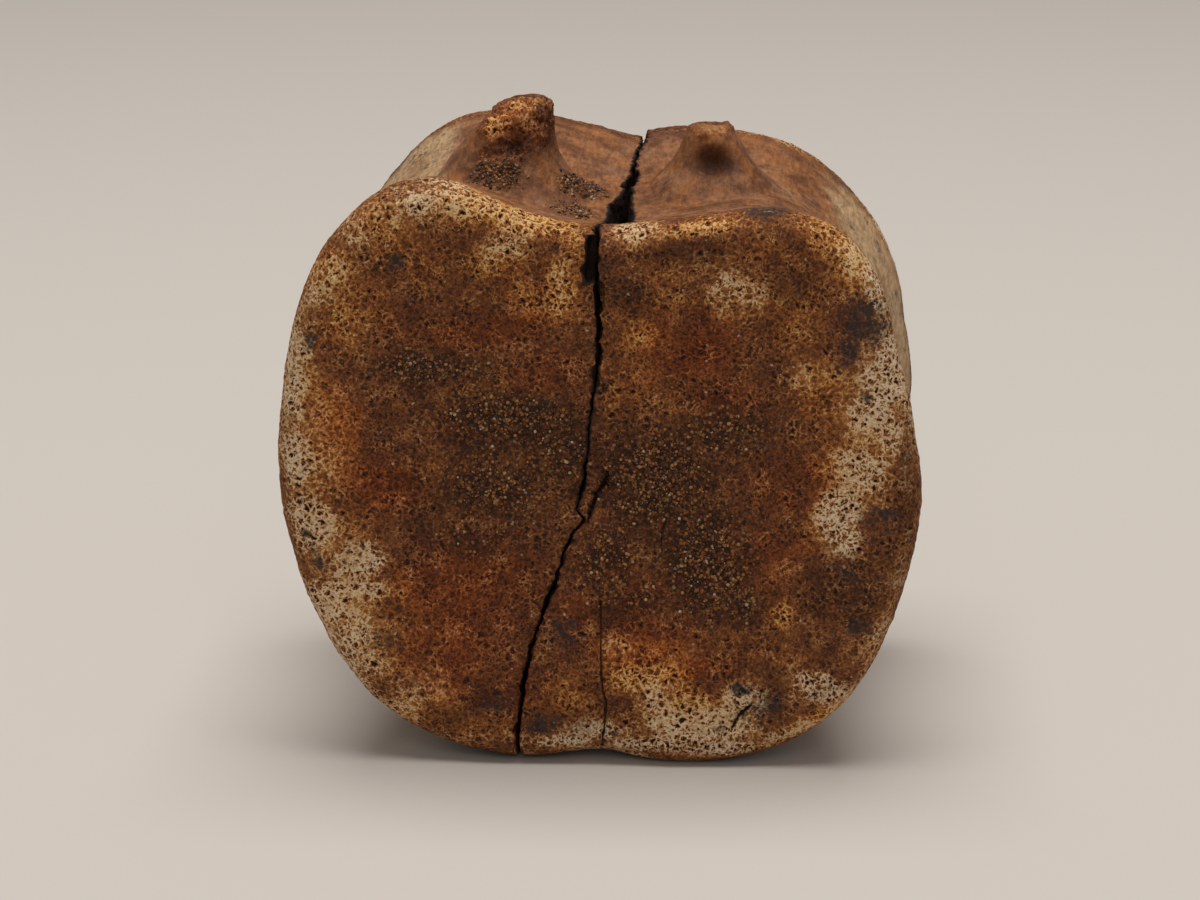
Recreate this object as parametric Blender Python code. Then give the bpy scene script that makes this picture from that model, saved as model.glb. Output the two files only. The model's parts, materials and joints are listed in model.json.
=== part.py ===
"""Fossil tail vertebra of a hadrosaur, as found: a centrum with two broken neural-arch pedicels.

The bone stands on the rims of its two end faces. The front face looks along -Y, the tail axis is Y
and the neural canal runs over the top between the pedicels. One old break runs right through the
centrum from top to bottom, so the centrum is two halves, and each pedicel is parted from the half
that carries it at its neurocentral junction. All lengths are in metres.
"""
import math

import bmesh
import bpy
from mathutils import Matrix, Vector, noise

# Size and stance of the centrum
LENGTH = 0.072
RIM_CENTRE_Z = 0.0439

# Rim radii about the rim centre, every 15 degrees from the right side (+X) up over the top
FRONT_RIM = (0.0505, 0.0512, 0.0536, 0.0572, 0.0545, 0.0463, 0.0441, 0.0476,
             0.0584, 0.0597, 0.0559, 0.0528, 0.0513, 0.0503, 0.0498, 0.0501,
             0.0486, 0.0460, 0.0425, 0.0458, 0.0496, 0.0515, 0.0506, 0.0499)
BACK_RIM = (0.0503, 0.0512, 0.0536, 0.0545, 0.0535, 0.0496, 0.0478, 0.0516,
            0.0567, 0.0563, 0.0543, 0.0522, 0.0510, 0.0500, 0.0500, 0.0505,
            0.0484, 0.0460, 0.0428, 0.0460, 0.0490, 0.0506, 0.0504, 0.0500)

# Rounded lips between the end faces and the side wall
LIP_RADIAL = 0.0042
LIP_AXIAL = 0.0046
LOWER_LIP_EXTRA = 0.0040
LOWER_LIP_ANGLES = {"front": (250.0,), "back": (250.0, 290.0)}
LOWER_LIP_SPREAD = 22.0

# Waist of the side wall and dish of the end faces
WAIST = 0.0050
WAIST_UNDER = 0.0030
FRONT_DISH = 0.0022
BACK_DISH = 0.0042

# Worn, lumpy surface: (feature size, height)
RELIEF = ((0.030, 0.0009), (0.011, 0.0004))
RELIEF_ORIGIN = Vector((3.7, 1.9, 8.2))

# Mesh density of the centrum: rows along each cube side, and the share of them outside the lips
CENTRUM_ROWS = 22
FLAT_SHARE = 8 / 11

# Pedicels: levels from the sunk root to the broken top, each as height, centre x and half widths in x and y.
# Hollow and buttress are each a direction and a spread in degrees, and a share of the width.
PEDICELS = {
    "pedicel_left": {
        "centre_y": 0.0025,
        "levels": ((0.0843, -0.0168, 0.0155, 0.0185),
                   (0.0888, -0.0175, 0.0112, 0.0140),
                   (0.0925, -0.0174, 0.0086, 0.0112),
                   (0.0950, -0.0168, 0.0075, 0.0100),
                   (0.0975, -0.0158, 0.0062, 0.0086),
                   (0.0998, -0.0146, 0.0049, 0.0072),
                   (0.1012, -0.0139, 0.0040, 0.0058),
                   (0.1020, -0.0137, 0.0026, 0.0040)),
        "hollow": (265.0, 32.0, 0.20),
        "buttress": (205.0, 22.0, 0.12),
        "junction_z": 0.0916,
        "junction_tilt": -4.0,
    },
    "pedicel_right": {
        "centre_y": 0.0105,
        "levels": ((0.0818, 0.0162, 0.0150, 0.0165),
                   (0.0863, 0.0161, 0.0106, 0.0126),
                   (0.0890, 0.0160, 0.0078, 0.0102),
                   (0.0910, 0.0160, 0.0063, 0.0086),
                   (0.0930, 0.0159, 0.0051, 0.0071),
                   (0.0948, 0.0157, 0.0043, 0.0060),
                   (0.0959, 0.0156, 0.0037, 0.0050),
                   (0.0963, 0.0156, 0.0024, 0.0034)),
        "hollow": (272.0, 34.0, 0.18),
        "buttress": (335.0, 25.0, 0.08),
        "junction_z": 0.0901,
        "junction_tilt": 2.0,
    },
}
PEDICEL_SIDES = 20
PEDICEL_RELIEF = 0.0005

# The break through the centrum: height and x on the front face, and the same on the back face
BREAK_FRONT = ((-0.006, -0.0125), (0.0040, -0.0133), (0.0080, -0.0130), (0.0140, -0.0122),
               (0.0197, -0.0110), (0.0260, -0.0088), (0.0313, -0.0067), (0.0350, -0.0060),
               (0.0387, -0.0042), (0.0405, -0.0024), (0.0422, -0.0039), (0.0470, -0.0026),
               (0.0540, -0.0020), (0.0600, -0.0012), (0.0680, -0.0002), (0.0780, -0.0005),
               (0.0890, -0.0005), (0.1000, -0.0005))
BREAK_BACK = ((-0.006, -0.0075), (0.020, -0.0060), (0.045, -0.0010), (0.070, 0.0030), (0.1000, 0.0043))
BREAK_COLUMNS = 10
BREAK_REACH = 0.040
BREAK_TURN_START = -0.033
BREAK_GAP = 0.0007
BREAK_ROUGHNESS = 0.0004

# Bone lost along the break, lofted from sections: y, left x, right x, level of the bone there, depth.
# The first is the hole that a splinter left in the canal floor, the second a chip off the back rim.
SPLINTER_HOLE = ((-0.0255, -0.0006, 0.0052, 0.0868, 0.011),
                 (-0.0080, -0.0002, 0.0043, 0.0848, 0.013),
                 (-0.0020, -0.0003, 0.0034, 0.0850, 0.013),
                 (0.0035, 0.0012, 0.0033, 0.0858, 0.011),
                 (0.0095, 0.0013, 0.0034, 0.0866, 0.009),
                 (0.0160, 0.0028, 0.0038, 0.0878, 0.004))
RIM_CHIP = ((0.0230, 0.0020, 0.0043, 0.0898, 0.0003),
            (0.0320, -0.0035, 0.0045, 0.0916, 0.0018),
            (0.0420, -0.0040, 0.0047, 0.0918, 0.0022))
CUTTER_HEADROOM = 0.010

# Gaps at the neurocentral junctions, and how far their cutters reach past the pedicels
JUNCTION_GAP = 0.0003
JUNCTION_OVERREACH = 1.18

# Block that levels the low points of the rims to the floor
FLOOR_BLOCK = 0.2

# Points closer than this after the cuts are one point
MERGE_DISTANCE = 0.00003

# Colours of the nodes, each group from left to right
HALF_COLOURS = {"centrum_left": (0.19, 0.085, 0.035), "centrum_right": (0.16, 0.07, 0.035)}
PEDICEL_COLOURS = {"pedicel_left": (0.23, 0.115, 0.045), "pedicel_right": (0.20, 0.085, 0.04)}
BONE_ROUGHNESS = 0.85
SHARP_ANGLE = math.radians(40.0)


def clear_scene():
    for obj in list(bpy.data.objects):
        bpy.data.objects.remove(obj, do_unlink=True)


def new_collection(name):
    collection = bpy.data.collections.new(name)
    bpy.context.scene.collection.children.link(collection)
    return collection


def bone_material(name, colour):
    material = bpy.data.materials.new(name)
    material.use_nodes = True
    shader = material.node_tree.nodes["Principled BSDF"]
    shader.inputs["Base Color"].default_value = (*colour, 1.0)
    shader.inputs["Roughness"].default_value = BONE_ROUGHNESS
    shader.inputs["Metallic"].default_value = 0.0
    return material


def add_object(name, bm, collection):
    mesh = bpy.data.meshes.new(name)
    bm.to_mesh(mesh)
    bm.free()
    obj = bpy.data.objects.new(name, mesh)
    collection.objects.link(obj)
    return obj


def smoothstep(value):
    value = min(1.0, max(0.0, value))
    return value * value * (3.0 - 2.0 * value)


def radius_at(radii, angle):
    """Radius of a rim at an angle in degrees, on a closed smooth curve through its radii."""
    step = 360.0 / len(radii)
    place = (angle % 360.0) / step
    first = int(place)
    t = place - first
    a, b, c, d = (radii[(first + k) % len(radii)] for k in (-1, 0, 1, 2))
    slope = c - a
    square = 2 * a - 5 * b + 4 * c - d
    cube = 3 * b - a - 3 * c + d
    return b + 0.5 * (slope * t + square * t ** 2 + cube * t ** 3)


def bump(angle, centre, spread):
    """1 at the centre angle, falling smoothly to 0 over a few spreads."""
    away = (angle - centre + 180.0) % 360.0 - 180.0
    return math.exp(-(away / spread) ** 2)


def lip_axial(angle, end):
    """Depth of the rounded lip. It is longer where the lower rim is bevelled."""
    extra = sum(bump(angle, centre, LOWER_LIP_SPREAD) for centre in LOWER_LIP_ANGLES[end])
    return LIP_AXIAL + LOWER_LIP_EXTRA * min(1.0, extra)


def around(u, w):
    """Angle in degrees of a point on a square, spread evenly along the square's sides."""
    if u == 0.0 and w == 0.0:
        return 0.0
    if abs(u) >= abs(w):
        return (45.0 * w / u) + (0.0 if u > 0.0 else 180.0)
    return 90.0 - (45.0 * u / w) + (0.0 if w > 0.0 else 180.0)


def centrum_point(u, v, w):
    """Carry a point of the cube from -1 to 1 onto the spool of the centrum."""
    angle = around(u, w)
    end = "front" if v < 0.0 else "back"
    rim = radius_at(FRONT_RIM if v < 0.0 else BACK_RIM, angle)
    sign = -1.0 if v < 0.0 else 1.0
    depth = lip_axial(angle, end)
    wall_end = LENGTH / 2 - depth
    ring = max(abs(u), abs(w))
    if abs(v) > 1.0 - 1e-6 and ring <= FLAT_SHARE:
        share = ring / FLAT_SHARE
        dish = (FRONT_DISH if v < 0.0 else BACK_DISH) * (1.0 - share ** 2) ** 2
        radius = (rim - LIP_RADIAL) * share
        y = sign * (LENGTH / 2 - dish)
    elif abs(v) > 1.0 - 1e-6:
        turn = math.radians(90.0 - 45.0 * (ring - FLAT_SHARE) / (1.0 - FLAT_SHARE))
        radius = rim - LIP_RADIAL + LIP_RADIAL * math.cos(turn)
        y = sign * (wall_end + depth * math.sin(turn))
    elif abs(v) > FLAT_SHARE:
        turn = math.radians(45.0 * (abs(v) - FLAT_SHARE) / (1.0 - FLAT_SHARE))
        radius = rim - LIP_RADIAL + LIP_RADIAL * math.cos(turn)
        y = sign * (wall_end + depth * math.sin(turn))
    else:
        share = v / FLAT_SHARE
        blend = smoothstep(0.5 + 0.5 * share)
        front = radius_at(FRONT_RIM, angle)
        back = radius_at(BACK_RIM, angle)
        waist = WAIST + WAIST_UNDER * bump(angle, 270.0, 45.0)
        radius = front + (back - front) * blend - waist * (1.0 - share ** 2) ** 1.5
        y = share * wall_end
    turn = math.radians(angle)
    return Vector((radius * math.cos(turn), y, RIM_CENTRE_Z + radius * math.sin(turn)))


def worn(point, feature, height):
    """Height of the worn relief at a point, for lumps of one feature size."""
    return height * noise.fractal(point / feature + RELIEF_ORIGIN, 1.0, 2.0, 2)


def roughen(bm, layers):
    bm.normal_update()
    shifts = [sum(worn(vert.co, *layer) for layer in layers) for vert in bm.verts]
    for vert, shift in zip(bm.verts, shifts):
        vert.co += vert.normal * shift


def build_centrum(collection):
    """A subdivided cube drawn out into the waisted spool of the centrum."""
    bm = bmesh.new()
    bmesh.ops.create_cube(bm, size=2.0)
    bmesh.ops.subdivide_edges(bm, edges=bm.edges[:], cuts=CENTRUM_ROWS - 1, use_grid_fill=True)
    for vert in bm.verts:
        vert.co = centrum_point(*vert.co)
    roughen(bm, RELIEF)
    bmesh.ops.recalc_face_normals(bm, faces=bm.faces[:])
    return add_object("centrum", bm, collection)


def build_pedicel(name, collection):
    """A flared stump with a broken top, a hollow on its front and a buttress on its outer side."""
    size = PEDICELS[name]
    hollow, hollow_spread, hollow_share = size["hollow"]
    ridge, ridge_spread, ridge_share = size["buttress"]
    highest = len(size["levels"]) - 1
    bm = bmesh.new()
    rings = []
    for level, (height, centre_x, half_x, half_y) in enumerate(size["levels"]):
        ring = []
        for k in range(PEDICEL_SIDES):
            angle = 360.0 * k / PEDICEL_SIDES
            turn = math.radians(angle)
            share = level / highest
            reach = 1.0 - hollow_share * bump(angle, hollow, hollow_spread) * math.sin(math.pi * share)
            reach += ridge_share * bump(angle, ridge, ridge_spread) * (1.0 - share)
            x = centre_x + reach * half_x * math.cos(turn)
            y = size["centre_y"] + reach * half_y * math.sin(turn)
            ring.append(bm.verts.new((x, y, height)))
        rings.append(ring)
    for low, high in zip(rings, rings[1:]):
        for k in range(PEDICEL_SIDES):
            after = (k + 1) % PEDICEL_SIDES
            bm.faces.new((low[k], low[after], high[after], high[k]))
    bm.faces.new(list(reversed(rings[0])))
    top = bm.faces.new(rings[-1])
    bmesh.ops.poke(bm, faces=[top])
    roughen(bm, ((0.006, PEDICEL_RELIEF),))
    bmesh.ops.recalc_face_normals(bm, faces=bm.faces[:])
    return add_object(name + "_stump", bm, collection)


def along(points, height):
    """Value at a height on a line through (height, value) points."""
    for (low, start), (high, end) in zip(points, points[1:]):
        if height <= high:
            return start + (end - start) * (height - low) / (high - low)
    return points[-1][1]


def break_x(y, z):
    """Where the break runs at a depth and height."""
    turn = smoothstep((y - BREAK_TURN_START) / (BREAK_REACH - BREAK_TURN_START))
    front = along(BREAK_FRONT, z)
    back = along(BREAK_BACK, z)
    jag = BREAK_ROUGHNESS * turn * noise.noise(Vector((0.0, y, z)) / 0.006)
    return front + (back - front) * turn + jag


def build_break_cutter(collection):
    """A thin wall that follows the break from front to back and from top to bottom."""
    rows = len(BREAK_FRONT) - 1
    bm = bmesh.new()
    bmesh.ops.create_grid(bm, x_segments=BREAK_COLUMNS, y_segments=rows, size=1.0)
    for vert in bm.verts:
        row = round((vert.co.y + 1.0) / 2.0 * rows)
        vert.co = (-BREAK_GAP / 2, vert.co.x * BREAK_REACH, BREAK_FRONT[row][0])
    sheet = bmesh.ops.extrude_face_region(bm, geom=bm.faces[:])
    moved = [item for item in sheet["geom"] if isinstance(item, bmesh.types.BMVert)]
    bmesh.ops.translate(bm, verts=moved, vec=(BREAK_GAP, 0.0, 0.0))
    for vert in bm.verts:
        vert.co.x += break_x(vert.co.y, vert.co.z)
    bmesh.ops.recalc_face_normals(bm, faces=bm.faces[:])
    return add_object("break_cutter", bm, collection)


def build_gouge_cutter(name, sections, collection):
    """A wedge lofted along the break: upright sides above the bone, closing onto the break below."""
    bm = bmesh.new()
    rings = []
    for y, left, right, level, depth in sections:
        foot = break_x(y, level - depth)
        foot = min(right - BREAK_GAP / 2, max(left + BREAK_GAP / 2, foot))
        corners = ((left, level + CUTTER_HEADROOM), (left, level),
                   (foot - BREAK_GAP / 4, level - depth), (foot + BREAK_GAP / 4, level - depth),
                   (right, level), (right, level + CUTTER_HEADROOM))
        rings.append([bm.verts.new((x, y, z)) for x, z in corners])
    for near, far in zip(rings, rings[1:]):
        for k in range(len(near)):
            after = (k + 1) % len(near)
            bm.faces.new((near[k], near[after], far[after], far[k]))
    bm.faces.new(rings[0])
    bm.faces.new(rings[-1])
    bmesh.ops.triangulate(bm, faces=bm.faces[:])
    bmesh.ops.recalc_face_normals(bm, faces=bm.faces[:])
    return add_object(name, bm, collection)


def build_junction_cutter(name, collection):
    """A thin tilted oval through the foot of a pedicel, a little wider than the pedicel there."""
    size = PEDICELS[name]
    z = size["junction_z"]
    levels = size["levels"]
    centre_x, half_x, half_y = (along([(level[0], level[k]) for level in levels], z) for k in (1, 2, 3))
    place = Matrix.Translation((centre_x, size["centre_y"], z))
    tilt = Matrix.Rotation(math.radians(size["junction_tilt"]), 4, "Y")
    oval = Matrix.Diagonal((half_x, half_y, 1.0, 1.0))
    bm = bmesh.new()
    bmesh.ops.create_cone(bm, cap_ends=True, segments=32, depth=JUNCTION_GAP,
                          radius1=JUNCTION_OVERREACH, radius2=JUNCTION_OVERREACH,
                          matrix=place @ tilt @ oval)
    return add_object(name + "_junction_cutter", bm, collection)


def build_floor_cutter(collection):
    """A block under the resting level, which leaves a small flat under each low point of the rims."""
    bm = bmesh.new()
    below = Matrix.Translation((0.0, 0.0, -FLOOR_BLOCK / 2))
    bmesh.ops.create_cube(bm, size=FLOOR_BLOCK, matrix=below)
    return add_object("floor_cutter", bm, collection)


def boolean(obj, other, operation):
    modifier = obj.modifiers.new(operation.lower(), "BOOLEAN")
    modifier.operation = operation
    modifier.solver = "EXACT"
    modifier.object = other


def hide_cutter(obj):
    obj.hide_render = True
    obj.display_type = "WIRE"


def evaluated_bmesh(obj):
    bpy.context.view_layer.update()
    depsgraph = bpy.context.evaluated_depsgraph_get()
    mesh = bpy.data.meshes.new_from_object(obj.evaluated_get(depsgraph))
    bm = bmesh.new()
    bm.from_mesh(mesh)
    bpy.data.meshes.remove(mesh)
    return bm


def clean_triangles(bm):
    """Merge the tiny edges that the cuts leave, drop points in the middle of an edge, and triangulate."""
    bmesh.ops.remove_doubles(bm, verts=bm.verts[:], dist=MERGE_DISTANCE)
    bmesh.ops.dissolve_degenerate(bm, edges=bm.edges[:], dist=MERGE_DISTANCE)
    spare = [vert for vert in bm.verts if len(vert.link_edges) == 2]
    bmesh.ops.dissolve_verts(bm, verts=spare)
    bmesh.ops.triangulate(bm, faces=bm.faces[:])


def closed_pieces(bm):
    """The closed surfaces of a mesh, each as its list of faces, largest volume first."""
    unseen = set(bm.faces)
    pieces = []
    while unseen:
        start = unseen.pop()
        piece = [start]
        queue = [start]
        while queue:
            for edge in queue.pop().edges:
                for face in edge.link_faces:
                    if face in unseen:
                        unseen.remove(face)
                        piece.append(face)
                        queue.append(face)
        pieces.append(piece)
    return sorted(pieces, key=piece_volume, reverse=True)


def piece_volume(faces):
    total = 0.0
    for face in faces:
        a, b, c = (vert.co for vert in face.verts)
        total += a.dot(b.cross(c)) / 6.0
    return total


def centre_x(faces):
    return sum(face.calc_center_median().x for face in faces) / len(faces)


def piece_bmesh(faces):
    """A mesh of its own from some of a mesh's faces."""
    bm = bmesh.new()
    copies = {}
    for face in faces:
        for vert in face.verts:
            if vert not in copies:
                copies[vert] = bm.verts.new(vert.co)
    for face in faces:
        bm.faces.new([copies[vert] for vert in face.verts])
    return bm


def finish_nodes(colours, pieces, collection):
    """Make the named nodes from as many pieces, both in order from left to right."""
    nodes = []
    for (name, colour), faces in zip(colours.items(), sorted(pieces, key=centre_x)):
        obj = add_object(name, piece_bmesh(faces), collection)
        obj.data.materials.append(bone_material(name + "_bone", colour))
        obj.data.shade_smooth()
        obj.data.set_sharp_from_angle(angle=SHARP_ANGLE)
        nodes.append(obj)
    return nodes


def centre_over_origin(nodes):
    """Shift the nodes together so that the middle of their box stands over the origin."""
    places = [vert.co for node in nodes for vert in node.data.vertices]
    middle_x = (min(co.x for co in places) + max(co.x for co in places)) / 2
    middle_y = (min(co.y for co in places) + max(co.y for co in places)) / 2
    for node in nodes:
        node.data.transform(Matrix.Translation((-middle_x, -middle_y, 0.0)))


def main():
    clear_scene()
    vertebra = new_collection("hadrosaur_vertebra")
    cutters = new_collection("cutters")

    whole = build_centrum(cutters)
    stumps = [build_pedicel(name, cutters) for name in PEDICELS]
    for stump in stumps:
        boolean(whole, stump, "UNION")
    removers = [build_floor_cutter(cutters)]
    removers.append(build_gouge_cutter("splinter_cutter", SPLINTER_HOLE, cutters))
    removers.append(build_gouge_cutter("rim_chip_cutter", RIM_CHIP, cutters))
    removers.append(build_break_cutter(cutters))
    removers += [build_junction_cutter(name, cutters) for name in PEDICELS]
    for remover in removers:
        boolean(whole, remover, "DIFFERENCE")

    parted = evaluated_bmesh(whole)
    clean_triangles(parted)
    pieces = closed_pieces(parted)
    nodes = finish_nodes(HALF_COLOURS, pieces[:2], vertebra)
    nodes += finish_nodes(PEDICEL_COLOURS, pieces[2:4], vertebra)
    parted.free()
    centre_over_origin(nodes)

    for obj in [whole, *stumps, *removers]:
        hide_cutter(obj)


main()
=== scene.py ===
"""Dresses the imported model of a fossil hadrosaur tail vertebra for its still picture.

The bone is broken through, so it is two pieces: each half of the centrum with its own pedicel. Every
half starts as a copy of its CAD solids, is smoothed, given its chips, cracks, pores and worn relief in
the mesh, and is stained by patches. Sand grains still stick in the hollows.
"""
import json
import logging
import math
from dataclasses import dataclass
from enum import Enum

import bpy
import numpy as np
from mathutils import Matrix, Vector
from mathutils.kdtree import KDTree

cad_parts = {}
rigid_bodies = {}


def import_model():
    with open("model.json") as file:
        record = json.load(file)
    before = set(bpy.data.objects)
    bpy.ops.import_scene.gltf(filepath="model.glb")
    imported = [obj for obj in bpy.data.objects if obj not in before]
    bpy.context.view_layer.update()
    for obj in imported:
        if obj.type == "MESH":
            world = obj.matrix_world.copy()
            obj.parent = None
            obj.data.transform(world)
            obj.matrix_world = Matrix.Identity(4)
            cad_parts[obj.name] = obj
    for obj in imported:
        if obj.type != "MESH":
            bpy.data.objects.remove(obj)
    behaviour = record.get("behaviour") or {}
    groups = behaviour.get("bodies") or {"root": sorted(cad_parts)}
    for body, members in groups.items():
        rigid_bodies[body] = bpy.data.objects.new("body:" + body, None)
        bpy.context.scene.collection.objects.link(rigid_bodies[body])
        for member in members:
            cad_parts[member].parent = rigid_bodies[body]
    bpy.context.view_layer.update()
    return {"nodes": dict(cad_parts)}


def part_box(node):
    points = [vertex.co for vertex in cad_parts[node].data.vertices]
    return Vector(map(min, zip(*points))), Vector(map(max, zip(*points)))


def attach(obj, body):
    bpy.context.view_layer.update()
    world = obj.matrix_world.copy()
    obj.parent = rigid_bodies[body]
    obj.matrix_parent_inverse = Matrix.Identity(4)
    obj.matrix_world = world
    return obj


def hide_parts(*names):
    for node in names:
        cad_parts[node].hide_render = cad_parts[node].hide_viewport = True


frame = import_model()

MM = 0.001
log = logging.getLogger("vertebra")

Socket = bpy.types.NodeSocket
Colour = tuple[float, float, float]


class Stain(Enum):
    """Kinds of surface that lie in patches over the bone. The value names the mesh attribute."""

    PALE = "pale"
    OCHRE = "ochre"
    RUST = "rust"
    # black stains; also painted shade in the hollow of the right pedicel
    BLACK = "black"
    # umber stains; also painted shade in the pedicel hollows
    UMBER_AND_SHADE = "umber"
    SAND = "sand"
    SMOOTH = "smooth"
    BROKEN = "broken"


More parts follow.
